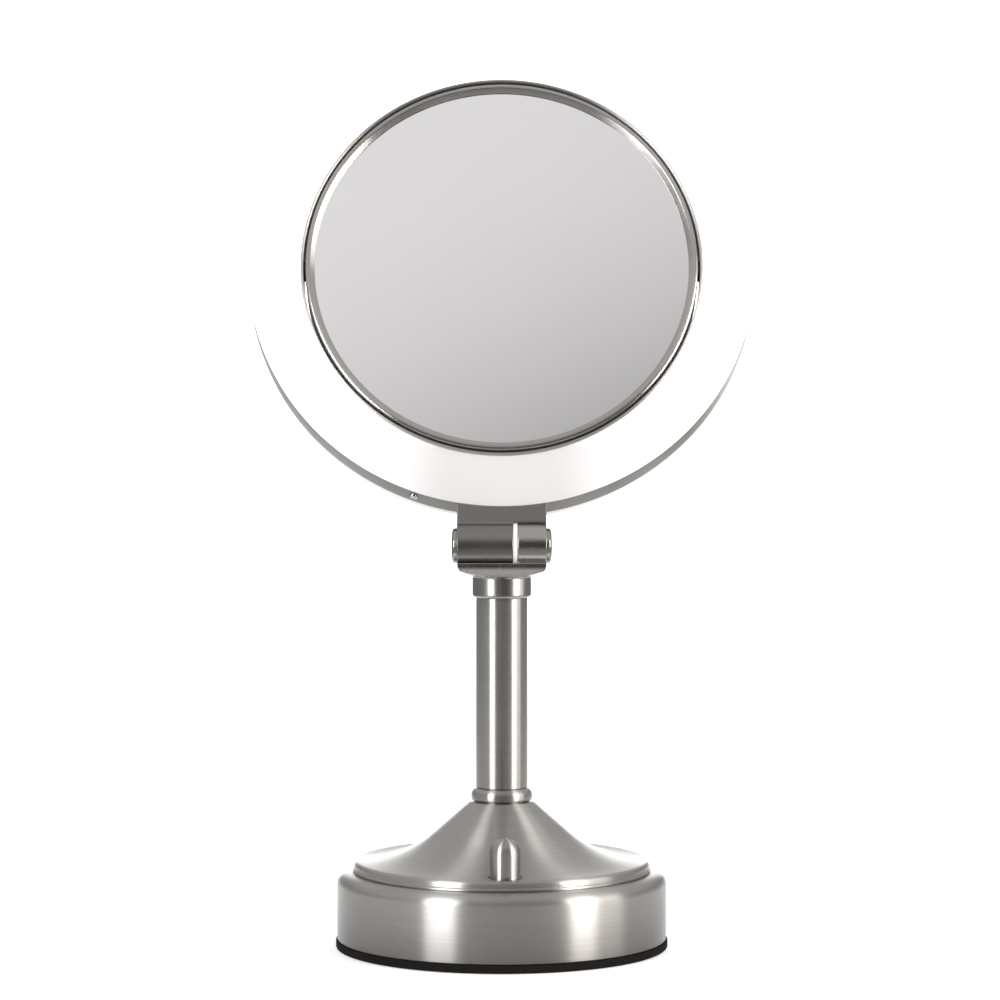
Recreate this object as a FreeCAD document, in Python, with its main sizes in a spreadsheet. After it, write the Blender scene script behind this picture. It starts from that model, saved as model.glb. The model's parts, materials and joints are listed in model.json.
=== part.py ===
"""Lighted table vanity mirror: a weighted round base, a tilting head and a two-sided flip mirror.

Millimetres. The origin is the centre of the foot's underside, +Z is up and the front faces -Y.
The head and the mirror are drawn in the ring frame: its origin is the ring's centre, +Y runs up
in the ring's plane and +Z points out of the front. ring_frame() places that frame on the stand.
"""
import FreeCAD, Part
import math
import os
import re
import Sketcher

from FreeCAD import Placement, Rotation, Vector

os.makedirs("parts", exist_ok=True)
doc = FreeCAD.newDocument("vanity_mirror")
nodes = {}

# ---------------------------------------------------------------- driving dimensions
DIMENSIONS = [
    ("sheet_wall", 1.2, "wall of the spun and drawn sheet metal"),
    ("running_gap", 0.05, "radial clearance of a turning fit"),
    ("fit_gap", 0.02, "radial clearance of a fixed fit"),
    ("foot_radius", 67.4, "rubber foot pad"),
    ("foot_height", 3.5, "rubber foot pad"),
    ("drum_radius", 66.8, "base drum, outside"),
    ("drum_top", 31.0, "top of the drum's deck"),
    ("drum_round", 5.0, "drum shoulder"),
    ("plate_top", 5.0, "top of the bottom plate"),
    ("iron_radius", 58.0, "cast iron weight"),
    ("iron_top", 15.0, "cast iron weight"),
    ("iron_edge", 2.0, "its rounded top edge"),
    ("well_radius", 4.2, "wells of the base screws in the foot pad"),
    ("pillar_circle", 42.0, "circle of the three base pillars and screws"),
    ("pillar_radius", 4.0, "base pillar"),
    ("base_screw_radius", 1.95, "base screw shank"),
    ("base_screw_head", 3.6, "base screw head"),
    ("base_screw_rise", 1.9, "base screw head"),
    ("base_screw_length", 19.0, "base screw shank"),
    ("flare_radius", 59.9, "rim of the trumpet shaped cover"),
    ("flare_land", 35.4, "height of the cover just inside its rim"),
    ("flare_round", 2.0, "rounding of the rim's top edge"),
    ("flare_sweep", 46.0, "radius of the cover's hollow curve"),
    ("flare_slope", 40.5, "slope of the cover's upper cone, degrees"),
    ("flare_top", 59.4, "top of the cover"),
    ("flare_neck", 12.9, "cover radius at its top"),
    ("hem_radius", 0.6, "rolled hem under the cover's rim"),
    ("bead_radius", 12.35, "bead ring under the column"),
    ("bead_top", 65.2, "bead ring"),
    ("bead_round", 3.2, "bead ring, upper edge"),
    ("bead_foot", 1.6, "bead ring, lower edge"),
    ("column_radius", 10.46, "column tube, outside"),
    ("column_top", 142.4, "column tube, and bottom of the yoke's collar"),
    ("collar_radius", 11.95, "yoke collar"),
    ("collar_top", 151.0, "where the collar meets the cradle"),
    ("tie_radius", 5.0, "threaded tie tube, outside"),
    ("tie_bore", 3.4, "threaded tie tube, inside"),
    ("tie_top", 149.0, "top of the tie tube"),
    ("tie_washer_radius", 9.5, "washer of the tie tube"),
    ("tie_washer_wall", 1.0, "washer of the tie tube"),
    ("tie_nut_flats", 14.0, "nut of the tie tube, across its flats"),
    ("tie_nut_height", 3.4, "nut of the tie tube"),
    ("hinge_height", 163.2, "axis of the head hinge"),
    ("hinge_half", 18.14, "half width of the hinge"),
    ("barrel_radius", 9.15, "both hinge knuckles"),
    ("washer_left", 4.56, "friction washer, left face"),
    ("washer_right", 6.41, "friction washer, right face"),
    ("lip_drop", 6.4, "cradle lip below the hinge axis"),
    ("cradle_corner", 2.6, "how far the cradle's lower corners are drawn in"),
    ("cradle_round", 3.2, "rounding of those corners"),
    ("cradle_flank", 4.6, "where the cradle's sides turn upright, above the collar"),
    ("cradle_sweep", 6.0, "hollow of the cradle's front and back"),
    ("pocket_radius", 9.3, "hollow of the cradle under the left knuckle"),
    ("bolt_radius", 3.6, "hollow hinge bolt"),
    ("bolt_bore", 1.9, "wire way through the hinge bolt"),
    ("bolt_end", 8.4, "the bolt's end left of the centre plane"),
    ("cavity_radius", 6.2, "hollow inside the left knuckle"),
    ("cavity_web", 5.0, "inner end of that hollow, left of the centre plane"),
    ("bolt_blind", 14.4, "end of the wire way, right of the centre plane"),
    ("ear_lead", 12.3, "the lead's way up through the ear, right of the centre plane"),
    ("lead_level", 151.6, "the lead's way across the cradle"),
    ("cap_length", 3.14, "plug of the left hinge cap"),
    ("spring_radius", 5.8, "spring washer"),
    ("hinge_nut_flats", 9.0, "hinge nut, across its flats"),
    ("pin_head_radius", 7.1, "domed hinge caps"),
    ("pin_head_rise", 2.25, "domed hinge caps"),
    ("groove_inset", 2.4, "ring groove of the hinge caps, in from their edge"),
    ("dome_rise", 0.25, "shallow dome inside that groove"),
    ("ear_gap_radius", 9.6, "clearance cut of the bracket over the right ear"),
    ("rest_tilt", 21.75, "head leaning back from upright, degrees"),
    ("ring_reach", 120.0, "hinge axis to ring centre along the ring's plane"),
    ("hinge_ahead", 3.25, "hinge axis in front of the mirror's pivot plane"),
    ("hoop_radius", 104.7, "outer hoop, outside"),
    ("hoop_wall", 0.8, "both hoops"),
    ("hoop_front", 8.0, "front edge of the outer hoop"),
    ("hoop_rear", -5.0, "rear edge of the outer hoop"),
    ("bar_front", 8.0, "front edge of the bracket's bar"),
    ("bar_rear", -1.5, "rear edge of the bracket's bar"),
    ("hoop_screw_angle", 19.9, "hoop screw, left of the ring's lowest point, degrees"),
    ("hoop_screw_radius", 1.2, "hoop screw shank"),
    ("bracket_screw_angle", 8.5, "bracket screws, either side of the ring's lowest point, degrees"),
    ("bracket_screw_radius", 1.4, "bracket screw shank"),
    ("inner_radius", 82.2, "inner hoop, inside"),
    ("inner_rear", -8.0, "rear edge of the inner hoop"),
    ("shell_rear", -12.5, "back of the translucent shell"),
    ("shell_wall", 1.6, "translucent shell"),
    ("shell_round", 3.0, "rear edges of the shell"),
    ("shell_lip", 1.5, "top of the shell's inner wall"),
    ("diffuser_wall", 1.6, "front diffuser"),
    ("diffuser_edge", 7.8, "front diffuser's front face at its edges"),
    ("diffuser_crown", 53.0, "radius of the front diffuser's crown"),
    ("notch_half", 21.0, "half width of the shell's notch round the lamp socket"),
    ("lamp_circle", 92.8, "centre line of the circular lamp"),
    ("lamp_radius", 5.6, "lamp tube"),
    ("lamp_height", -0.9, "lamp centre line from the pivot plane"),
    ("lamp_glass", 0.9, "wall of the lamp tube"),
    ("lamp_gap", 11.0, "angle between the lamp's ends, degrees"),
    ("lamp_block", 6.4, "half the height and breadth of the lamp's base"),
    ("lamp_base_angle", 17.0, "sector of the lamp's base, degrees"),
    ("contact_height", 1.4, "lamp pins from the pivot plane"),
    ("contact_radius", 0.8, "lamp pins"),
    ("contact_pitch", 3.0, "lamp pins, centre to centre"),
    ("socket_half", 9.0, "half width of the lamp socket"),
    ("socket_near", 99.2, "lamp socket's inner face, from the ring's centre"),
    ("socket_far", 103.1, "lamp socket's outer face, from the ring's centre"),
    ("socket_front", 5.6, "lamp socket's front"),
    ("clip_wall", 0.7, "lamp clips"),
    ("clip_half", 3.0, "half width of the lamp clips"),
    ("frame_radius", 81.05, "mirror frame, outside"),
    ("frame_crest", 9.0, "front of the mirror frame's rim"),
    ("frame_round", 1.1, "rounding of that rim"),
    ("frame_wall", 0.9, "wall of the mirror frame"),
    ("frame_line", 6.0, "fine groove round the frame, from the pivot plane"),
    ("sight_radius", 77.2, "visible glass"),
    ("glass_radius", 78.8, "whole glass"),
    ("glass_face", 6.9, "mirrored face of the flat glass at its edge"),
    ("glass_wall", 3.0, "flat glass"),
    ("lens_wall", 2.5, "magnifying glass"),
    ("lens_curve", 600.0, "radius of the magnifying glass"),
    ("core_radius", 70.5, "spacer ring between the glasses, inside"),
    ("core_rear", -3.2, "spacer ring at its inner edge"),
    ("pivot_radius", 2.0, "mirror pivot pins"),
    ("bush_radius", 4.15, "flange of the pivot bushes"),
    ("bush_sleeve", 2.9, "sleeve of the pivot bushes"),
    ("pin_inner", 71.5, "inner end of the pivot pins"),
    ("switch_out", 50.7, "switch knob in front of the column"),
    ("switch_side", 1.3, "switch knob right of the centre plane"),
    ("switch_body_radius", 9.5, "switch body"),
    ("switch_low", 16.5, "underside of the switch body"),
    ("bushing_radius", 4.7, "threaded bushing of the switch"),
    ("switch_nut_flats", 12.0, "switch nut, across its flats"),
    ("switch_nut_height", 2.2, "switch nut"),
    ("knob_cavity", 5.2, "hollow of the knob over the nut"),
    ("knob_radius", 6.25, "switch knob"),
    ("knob_bottom", 33.6, "switch knob"),
    ("knob_top", 51.2, "switch knob"),
    ("shaft_radius", 3.0, "switch shaft"),
    ("lead_radius", 1.3, "inner leads"),
    ("lead_bend", 2.4, "bend of an inner lead"),
    ("lead_left", 10.8, "upper lead's way up through the bracket, left of centre"),
    ("lead_turn", 101.3, "upper lead's turn into the lamp socket, from the ring's centre"),
    ("gland_height", 20.0, "cord inlet in the back of the drum"),
    ("gland_bore", 3.2, "cord inlet"),
    ("gland_neck", 5.0, "hole in the drum round the grommet's groove"),
    ("gland_flange", 7.4, "grommet outside the drum"),
    ("gland_collar", 6.8, "grommet inside the drum"),
    ("board_left", -12.0, "circuit board"),
    ("board_right", 40.0, "circuit board"),
    ("board_near", 14.0, "circuit board"),
    ("board_far", 46.0, "circuit board"),
    ("board_under", 19.0, "underside of the circuit board"),
    ("board_top", 20.6, "top of the circuit board"),
    ("board_inset", 3.0, "board screws in from the board's edges"),
    ("standoff_radius", 2.6, "board standoffs, outside"),
    ("standoff_bore", 1.52, "board standoffs, inside"),
]

sheet = doc.addObject("Spreadsheet::Sheet", "dims")
for row, (alias, value, meaning) in enumerate(DIMENSIONS, start=1):
    sheet.set(f"A{row}", meaning)
    sheet.set(f"B{row}", str(value))
    sheet.setAlias(f"B{row}", alias)
doc.recompute()
ALIAS = re.compile(r"\b(" + "|".join(alias for alias, _, _ in DIMENSIONS) + r")\b")


# ---------------------------------------------------------------- helpers
def number(expression):
    """The value of an expression of aliases."""
    return float(sheet.evalExpression(str(expression)))


def point(across, along, height):
    return Vector(number(across), number(along), number(height))


def bind(thing, field, expression):
    """Tie one size of an object to the sheet."""
    thing.setExpression(field, ALIAS.sub(r"dims.\1", str(expression)))


def keep(label, thing, place=None):
    """Take an object as the part's node of that name."""
    thing.Label = label
    if place is not None:
        thing.Placement = place
    nodes[label] = thing
    return thing


def ring_frame():
    """The ring frame on the stand: turned about X, its centre behind and above the hinge."""
    tilt = math.radians(number("rest_tilt"))
    reach = number("ring_reach")
    ahead = number("hinge_ahead")
    centre = Vector(
        0,
        reach * math.sin(tilt) + ahead * math.cos(tilt),
        number("hinge_height") + reach * math.cos(tilt) - ahead * math.sin(tilt),
    )
    return Placement(centre, Rotation(Vector(1, 0, 0), 90 - number("rest_tilt")))


def new_body(name):
    return doc.addObject("PartDesign::Body", name)


def own(body, role):
    """One of a body's own origin planes or axes."""
    return next(item for item in body.Origin.OriginFeatures if item.Role == role)


def arc_between(start, end, radius):
    """An arc from start to end; it turns left where the radius is positive."""
    middle = (start + end) / 2
    chord = end - start
    side = Vector(-chord.y, chord.x, 0).normalize() * math.copysign(1, radius)
    inset = math.sqrt(max(radius * radius - chord.Length ** 2 / 4, 0))
    crest = middle + side * (inset - abs(radius))
    return Part.Arc(start, crest, end) if radius > 0 else Part.Arc(end, crest, start)


def closed_sketch(body, name, plane, corners):
    """A closed outline; a corner with a third value starts an arc of that signed radius."""
    sketch = body.newObject("Sketcher::SketchObject", name)
    sketch.AttachmentSupport = [(own(body, plane), "")]
    sketch.MapMode = "FlatFace"
    spots = [Vector(number(corner[0]), number(corner[1]), 0) for corner in corners]
    ends = []
    for index, corner in enumerate(corners):
        start = spots[index]
        end = spots[(index + 1) % len(spots)]
        radius = number(corner[2]) if len(corner) > 2 else 0
        if radius:
            sketch.addGeometry(arc_between(start, end, radius), False)
        else:
            sketch.addGeometry(Part.LineSegment(start, end), False)
        ends.append((2, 1) if radius < 0 else (1, 2))
    for index, corner in enumerate(corners):
        following = (index + 1) % len(corners)
        joined = Sketcher.Constraint("Coincident", index, ends[index][1], following, ends[following][0])
        sketch.addConstraint(joined)
        for way, expression, size in zip(("DistanceX", "DistanceY"), corner, spots[index]):
            fixed = sketch.addConstraint(Sketcher.Constraint(way, -1, 1, index, ends[index][0], size))
            bind(sketch, f"Constraints[{fixed}]", expression)
        if len(corner) > 2:
            curve = sketch.addConstraint(Sketcher.Constraint("Radius", index, abs(number(corner[2]))))
            bind(sketch, f"Constraints[{curve}]", f"abs({corner[2]})")
    return sketch


def lathe(name, corners, angle=360):
    """A body turned about Z from its half section of (radius, height) corners."""
    body = new_body(name)
    section = closed_sketch(body, name + "_section", "XZ_Plane", corners)
    turned = body.newObject("PartDesign::Revolution", name + "_turned")
    turned.Profile = section
    turned.ReferenceAxis = (section, ["V_Axis"])
    turned.Midplane = angle < 360
    turned.Angle = angle
    return body


def slab(name, plane, corners, thickness):
    """A body padded from an outline, half its thickness to each side of the plane."""
    body = new_body(name)
    pad = body.newObject("PartDesign::Pad", name + "_pad")
    pad.Profile = closed_sketch(body, name + "_outline", plane, corners)
    pad.SideType = "Symmetric"
    bind(pad, "Length", thickness)
    return body


def bore(body, name, radius, length, start, towards):
    """A round hole in a body, from start along a direction."""
    doc.recompute()
    if not body.Shape.isValid():
        raise RuntimeError(body.Name + " has no valid shape before " + name)
    solid = body.Shape.Volume
    hole = body.newObject("PartDesign::SubtractiveCylinder", name)
    bind(hole, "Radius", radius)
    bind(hole, "Height", length)
    hole.Placement = Placement(start, Rotation(Vector(0, 0, 1), towards))
    doc.recompute()
    if hole.Shape.Volume >= solid:
        raise RuntimeError(name + " removes nothing")
    return hole


def repeat_round(body, feature, count):
    """Copies of a body's feature, evenly round its Z axis."""
    pattern = body.newObject("PartDesign::PolarPattern", feature.Name + "_round")
    pattern.Originals = [feature]
    pattern.Axis = (own(body, "Z_Axis"), [""])
    pattern.Angle = 360
    pattern.Occurrences = count
    body.Tip = pattern


def cylinder(name, radius, length, start, towards):
    rod = doc.addObject("Part::Cylinder", name)
    bind(rod, "Radius", radius)
    bind(rod, "Height", length)
    rod.Placement = Placement(start, Rotation(Vector(0, 0, 1), towards))
    return rod


def block(name, low, high):
    """A box between two corners, each three expressions."""
    box = doc.addObject("Part::Box", name)
    for field, start, end in zip(("Length", "Width", "Height"), low, high):
        bind(box, field, f"({end}) - ({start})")
    box.Placement.Base = point(*low)
    return box


def cut(name, base, tool):
    less = doc.addObject("Part::Cut", name)
    less.Base = base
    less.Tool = tool
    return less


def joined(kind, name, shapes):
    whole = doc.addObject(kind, name)
    whole.Shapes = shapes
    return whole


def group(label, members, place=None):
    """Several separate solids in one node."""
    whole = doc.addObject("Part::Compound", label)
    whole.Links = members
    return keep(label, whole, place)


def screw(name, head_radius, head_rise, shank_radius, shank_length, place):
    """A domed screw: its shank runs down -Z from the head's seat at the local origin."""
    body = lathe(name, [
        (0, f"-{shank_length}"),
        (f"{shank_radius} - 0.3", f"-{shank_length}"),
        (shank_radius, f"0.3 - {shank_length}"),
        (shank_radius, 0),
        (head_radius, 0),
        (head_radius, f"{head_rise} * 0.4", f"{head_radius} * 1.6"),
        (f"{head_radius} * 0.3", head_rise),
        (0, head_rise),
    ])
    body.Placement = place
    return body


def bent_lead(label, runs, bend, radius, place):
    """A round lead along straight runs with a tangent arc of one bend radius at each corner."""
    edges = []
    here = runs[0]
    for corner, onward in zip(runs[1:-1], runs[2:]):
        arriving = (corner - here).normalize()
        leaving = (onward - corner).normalize()
        first = corner - arriving * bend
        last = corner + leaving * bend
        middle = first + leaving * bend + (arriving - leaving) * (bend * math.sqrt(0.5))
        edges.append(Part.LineSegment(here, first).toShape())
        edges.append(Part.Arc(first, middle, last).toShape())
        here = last
    edges.append(Part.LineSegment(here, runs[-1]).toShape())
    path = Part.Wire(edges)
    ring = Part.Wire(Part.Circle(runs[0], runs[1] - runs[0], radius).toShape())
    lead = doc.addObject("Part::Feature", label)
    lead.Shape = path.makePipeShell([ring], True, False)
    full = math.pi * radius ** 2 * path.Length
    if abs(lead.Shape.Volume - full) > 0.01 * full:
        raise RuntimeError(label + " is not a full tube")
    return keep(label, lead, place)


UP = Vector(0, 0, 1)
RIGHT = Vector(1, 0, 0)
LEFT = Vector(-1, 0, 0)
BACK = Vector(0, 1, 0)
FRONT = Vector(0, -1, 0)


# ---------------------------------------------------------------- base
def foot_pad():
    body = lathe("foot_pad", [
        (0, 0),
        ("foot_radius - 0.8", 0, 0.8),
        ("foot_radius", 0.8),
        ("foot_radius", "foot_height - 0.6", 0.6),
        ("foot_radius - 0.6", "foot_height"),
        (0, "foot_height"),
    ])
    well = bore(body, "screw_well", "well_radius", "foot_height", point("pillar_circle", 0, 0), UP)
    repeat_round(body, well, 3)
    keep("foot_pad", body)


def bottom_plate():
    body = lathe("bottom_plate", [
        (0, "foot_height"),
        ("drum_radius - sheet_wall - 0.1", "foot_height"),
        ("drum_radius - sheet_wall - 0.1", "plate_top"),
        (0, "plate_top"),
    ])
    start = point("pillar_circle", 0, "foot_height")
    hole = bore(body, "plate_hole", "base_screw_radius + 0.2", 2, start, UP)
    repeat_round(body, hole, 3)
    keep("bottom_plate", body)


def iron_weight():
    body = lathe("iron_weight", [
        (0, "plate_top"),
        ("iron_radius", "plate_top"),
        ("iron_radius", "iron_top - iron_edge", "iron_edge"),
        ("iron_radius - iron_edge", "iron_top"),
        (0, "iron_top"),
    ])
    start = point("pillar_circle", 0, "plate_top")
    hole = bore(body, "iron_hole", "base_screw_radius + 0.2", "iron_top", start, UP)
    repeat_round(body, hole, 3)
    keep("iron_weight", body)


def base_drum():
    body = lathe("base_drum", [
        ("drum_radius", "foot_height"),
        ("drum_radius", "drum_top - drum_round", "drum_round"),
        ("drum_radius - drum_round", "drum_top"),
        ("tie_radius + 0.1", "drum_top"),
        ("tie_radius + 0.1", "drum_top - sheet_wall"),
        ("drum_radius - drum_round", "drum_top - sheet_wall", "sheet_wall - drum_round"),
        ("drum_radius - sheet_wall", "drum_top - drum_round"),
        ("drum_radius - sheet_wall", "foot_height"),
    ])
    under_deck = point("switch_side", "-switch_out", "drum_top - 2")
    bore(body, "switch_hole", "bushing_radius + running_gap", 3, under_deck, UP)
    bore(body, "cord_hole", "gland_neck", 4, point(0, "drum_radius - 3", "gland_height"), BACK)
    keep("base_drum", body)


def base_pillars():
    pillars = []
    for index in range(3):
        pillar = lathe(f"pillar_{index}", [
            ("base_screw_radius + fit_gap", "iron_top"),
            ("pillar_radius", "iron_top"),
            ("pillar_radius", "drum_top - sheet_wall"),
            ("base_screw_radius + fit_gap", "drum_top - sheet_wall"),
        ])
        turn = Rotation(UP, 120 * index)
        pillar.Placement = Placement(turn.multVec(point("pillar_circle", 0, 0)), turn)
        pillars.append(pillar)
    group("base_pillars", pillars)


def base_screws():
    screws = []
    for index in range(3):
        turn = Rotation(UP, 120 * index)
        seat = turn.multVec(point("pillar_circle", 0, "foot_height"))
        place = Placement(seat, turn * Rotation(RIGHT, 180))
        sizes = ("base_screw_head", "base_screw_rise", "base_screw_radius", "base_screw_length")
        screws.append(screw(f"base_screw_{index}", *sizes, place))
    group("base_screws", screws)


def base_flare():
    """The trumpet: a rolled hem, a short rim, a hollow curve and a cone up to the bead."""
    curve_start = "(flare_radius - flare_round + 0.001)"
    level = "(flare_land + flare_sweep)"
    inner_level = "(flare_sweep + sheet_wall)"
    body = lathe("base_flare", [
        ("flare_radius", "drum_top", "hem_radius"),
        ("flare_radius + hem_radius", "drum_top + hem_radius", "hem_radius"),
        ("flare_radius", "drum_top + hem_radius * 2"),
        ("flare_radius", "flare_land - flare_round", "flare_round"),
        (curve_start, "flare_land", "-flare_sweep"),
        (f"{curve_start} - flare_sweep * sin(flare_slope)", f"{level} - flare_sweep * cos(flare_slope)"),
        ("flare_neck", "flare_top"),
        ("tie_radius + 0.1", "flare_top"),
        ("tie_radius + 0.1", "flare_top - sheet_wall"),
        ("flare_neck - 0.2", "flare_top - sheet_wall"),
        (
            f"{curve_start} - {inner_level} * sin(flare_slope)",
            f"{level} - {inner_level} * cos(flare_slope)",
            inner_level,
        ),
        (curve_start, "flare_land - sheet_wall"),
        ("flare_radius - sheet_wall", "flare_land - sheet_wall - 0.8"),
        ("flare_radius - sheet_wall", "drum_top"),
    ])
    over_deck = point("switch_side", "-switch_out", "drum_top + 1")
    bore(body, "knob_hole", "knob_radius + 0.35", 8, over_deck, UP)
    keep("base_flare", body)


def cord_gland():
    """A grommet in the drum's back wall; its groove holds the sheet."""
    wall_out = "drum_radius"
    wall_in = "drum_radius - sheet_wall - 0.35"
    body = lathe("cord_gland", [
        ("gland_bore", f"{wall_in} - 2.2"),
        ("gland_collar - 0.6", f"{wall_in} - 2.2"),
        ("gland_collar", f"{wall_in} - 1.6"),
        ("gland_collar", wall_in),
        ("gland_neck - fit_gap", wall_in),
        ("gland_neck - fit_gap", f"{wall_out} + running_gap"),
        ("gland_flange", f"{wall_out} + running_gap"),
        ("gland_flange", f"{wall_out} + 1.4", 1.2),
        ("gland_flange - 1.2", f"{wall_out} + 2.6"),
        ("gland_bore", f"{wall_out} + 2.6"),
    ])
    keep("cord_gland", body, Placement(point(0, 0, "gland_height"), Rotation(UP, BACK)))


# ---------------------------------------------------------------- electronics in the base
def circuit_board():
    low = ("board_left", "board_near", "board_under")
    high = ("board_right", "board_far", "board_top")
    board = block("board_blank", low, high)
    holes = []
    for index, corner in enumerate(board_corners()):
        start = corner + point(0, 0, "board_under - 1")
        holes.append(cylinder(f"board_hole_{index}", "standoff_bore + 0.08", 3, start, UP))
    keep("circuit_board", cut("circuit_board", board, joined("Part::MultiFuse", "board_holes", holes)))


def board_corners():
    """The four screw axes of the board."""
    across = ("board_left + board_inset", "board_right - board_inset")
    along = ("board_near + board_inset", "board_far - board_inset")
    return [point(left_right, near_far, 0) for left_right in across for near_far in along]


def board_standoffs():
    tubes = []
    for index, corner in enumerate(board_corners()):
        tube = lathe(f"standoff_{index}", [
            ("standoff_bore", "iron_top"),
            ("standoff_radius", "iron_top"),
            ("standoff_radius", "board_under"),
            ("standoff_bore", "board_under"),
        ])
        tube.Placement.Base = corner
        tubes.append(tube)
    group("board_standoffs", tubes)


def board_screws():
    screws = []
    for index, corner in enumerate(board_corners()):
        place = Placement(corner + point(0, 0, "board_top"), Rotation())
        shank = "standoff_bore - fit_gap"
        screws.append(screw(f"board_screw_{index}", "standoff_radius", 1.8, shank, 5.2, place))
    group("board_screws", screws)


def on_board(name, low, high):
    """A block on the board; its corners are counted from the board's front centre and top."""
    middle = "(board_left + board_right) / 2"
    start = (f"{middle} + {low[0]}", f"board_near + {low[1]}", f"board_top + {low[2]}")
    end = (f"{middle} + {high[0]}", f"board_near + {high[1]}", f"board_top + {high[2]}")
    return block(name, start, end)


def transformer():
    core = on_board("core", (0, 16, 0), (14, 28, 2.6))
    winding = on_board("winding", (1.5, 14.5, 2.6), (12.5, 29.5, 5.8))
    cap = on_board("core_cap", (0, 16, 5.8), (14, 28, 8.2))
    keep("transformer", joined("Part::MultiFuse", "transformer", [core, winding, cap]))


def capacitors():
    film = on_board("film_capacitor", (-14, 19, 0), (-9, 30, 7.4))
    can_radius, can_length = 4, 13
    can_height = f"board_top + {can_radius} + 0.1"
    can_start = point("(board_left + board_right) / 2", "board_near + 8", can_height)
    can = cylinder("can_capacitor", can_radius, can_length, can_start, RIGHT)
    group("capacitors", [film, can])


def choke():
    """A spool on the board's right."""
    flange, waist, height = 5, 3.6, 7.2
    body = lathe("choke", [
        (1.5, 0),
        (flange, 0),
        (flange, 1.2),
        (waist, 1.2),
        (waist, height - 1.2),
        (flange, height - 1.2),
        (flange, height),
        (1.5, height),
    ])
    spot = point("(board_left + board_right) / 2 + 20", "board_near + 20", "board_top")
    keep("choke", body, Placement(spot, Rotation()))


def lead_connector():
    keep("lead_connector", on_board("connector_housing", (-20, 0.5, 0), (-5, 7, 4.8)))


# ---------------------------------------------------------------- rotary switch
def switch_place():
    return Placement(point("switch_side", "-switch_out", 0), Rotation())


def switch_body():
    body = lathe("switch_body", [
        (0, "switch_low"),
        ("switch_body_radius - 0.6", "switch_low"),
        ("switch_body_radius", "switch_low + 0.6"),
        ("switch_body_radius", "drum_top - sheet_wall"),
        ("shaft_radius + running_gap", "drum_top - sheet_wall"),
        ("shaft_radius + running_gap", "drum_top - 5"),
        (0, "drum_top - 5"),
    ])
    keep("switch_body", body, switch_place())


def switch_bushing():
    body = lathe("switch_bushing", [
        ("shaft_radius + running_gap", "drum_top - sheet_wall"),
        ("bushing_radius", "drum_top - sheet_wall"),
        ("bushing_radius", "drum_top + 3.4"),
        ("shaft_radius + running_gap", "drum_top + 3.4"),
    ])
    keep("switch_bushing", body, switch_place())


def hex_nut(name, flats, hole, low, high, place):
    """A nut standing on Z, its corners turned down by a cone at each face."""
    prism = doc.addObject("Part::Prism", name + "_prism")
    prism.Polygon = 6
    bind(prism, "Circumradius", f"{flats} / sqrt(3)")
    bind(prism, "Height", f"({high}) - ({low})")
    prism.Placement.Base = Vector(0, 0, number(low))
    corner = f"{flats} / sqrt(3)"
    blank = lathe(name + "_blank", [
        (0, low),
        (f"{flats} / 2", low),
        (corner, f"{low} + {flats} * 0.045"),
        (corner, f"{high} - {flats} * 0.045"),
        (f"{flats} / 2", high),
        (0, high),
    ])
    chamfered = joined("Part::MultiCommon", name + "_chamfered", [prism, blank])
    hole_tool = cylinder(name + "_hole", hole, f"({high}) - ({low}) + 2", Vector(0, 0, number(low) - 1), UP)
    keep(name, cut(name, chamfered, hole_tool), place)


def switch_nut():
    top = "drum_top + switch_nut_height"
    inside = "bushing_radius + running_gap"
    hex_nut("switch_nut", "switch_nut_flats", inside, "drum_top", top, switch_place())


def switch_shaft():
    body = lathe("switch_shaft", [
        (0, "drum_top - 4.6"),
        ("shaft_radius", "drum_top - 4.6"),
        ("shaft_radius", "knob_top - 5.7"),
        ("shaft_radius - 0.4", "knob_top - 5.3"),
        (0, "knob_top - 5.3"),
    ])
    keep("switch_shaft", body, switch_place())


def switch_knob():
    """A bullet with a round nose, hollow below so that it clears the nut on the deck."""
    body = lathe("switch_knob", [
        ("knob_cavity", "knob_bottom"),
        ("knob_radius", "knob_bottom"),
        ("knob_radius", "knob_top - knob_radius", "knob_radius"),
        (0, "knob_top"),
        (0, "knob_top - 5.2"),
        ("shaft_radius + fit_gap", "knob_top - 5.2"),
        ("shaft_radius + fit_gap", "knob_bottom + 3.4"),
        ("knob_cavity", "knob_bottom + 3.4"),
    ])
    keep("switch_knob", body, switch_place())


# ---------------------------------------------------------------- column
def column_bead():
    body = lathe("column_bead", [
        ("tie_radius + 0.1", "flare_top"),
        ("bead_radius - bead_foot", "flare_top", "bead_foot"),
        ("bead_radius", "flare_top + bead_foot"),
        ("bead_radius", "bead_top - bead_round", "bead_round"),
        ("bead_radius - bead_round", "bead_top"),
        ("tie_radius + 0.1", "bead_top"),
    ])
    keep("column_bead", body)


def column_tube():
    body = lathe("column_tube", [
        ("column_radius - sheet_wall", "bead_top"),
        ("column_radius", "bead_top"),
        ("column_radius", "column_top"),
        ("column_radius - sheet_wall", "column_top"),
    ])
    keep("column_tube", body)


def tie_tube():
    """Lamp pipe that pulls the yoke down onto the column, cover and deck."""
    body = lathe("tie_tube", [
        ("tie_bore", "drum_top - 6"),
        ("tie_radius - 0.4", "drum_top - 6"),
        ("tie_radius", "drum_top - 5.6"),
        ("tie_radius", "tie_top - 0.4"),
        ("tie_radius - 0.4", "tie_top"),
        ("tie_bore", "tie_top"),
    ])
    keep("tie_tube", body)


def tie_washer():
    body = lathe("tie_washer", [
        ("tie_radius + 0.1", "drum_top - sheet_wall - tie_washer_wall"),
        ("tie_washer_radius", "drum_top - sheet_wall - tie_washer_wall"),
        ("tie_washer_radius", "drum_top - sheet_wall"),
        ("tie_radius + 0.1", "drum_top - sheet_wall"),
    ])
    keep("tie_washer", body)


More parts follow.
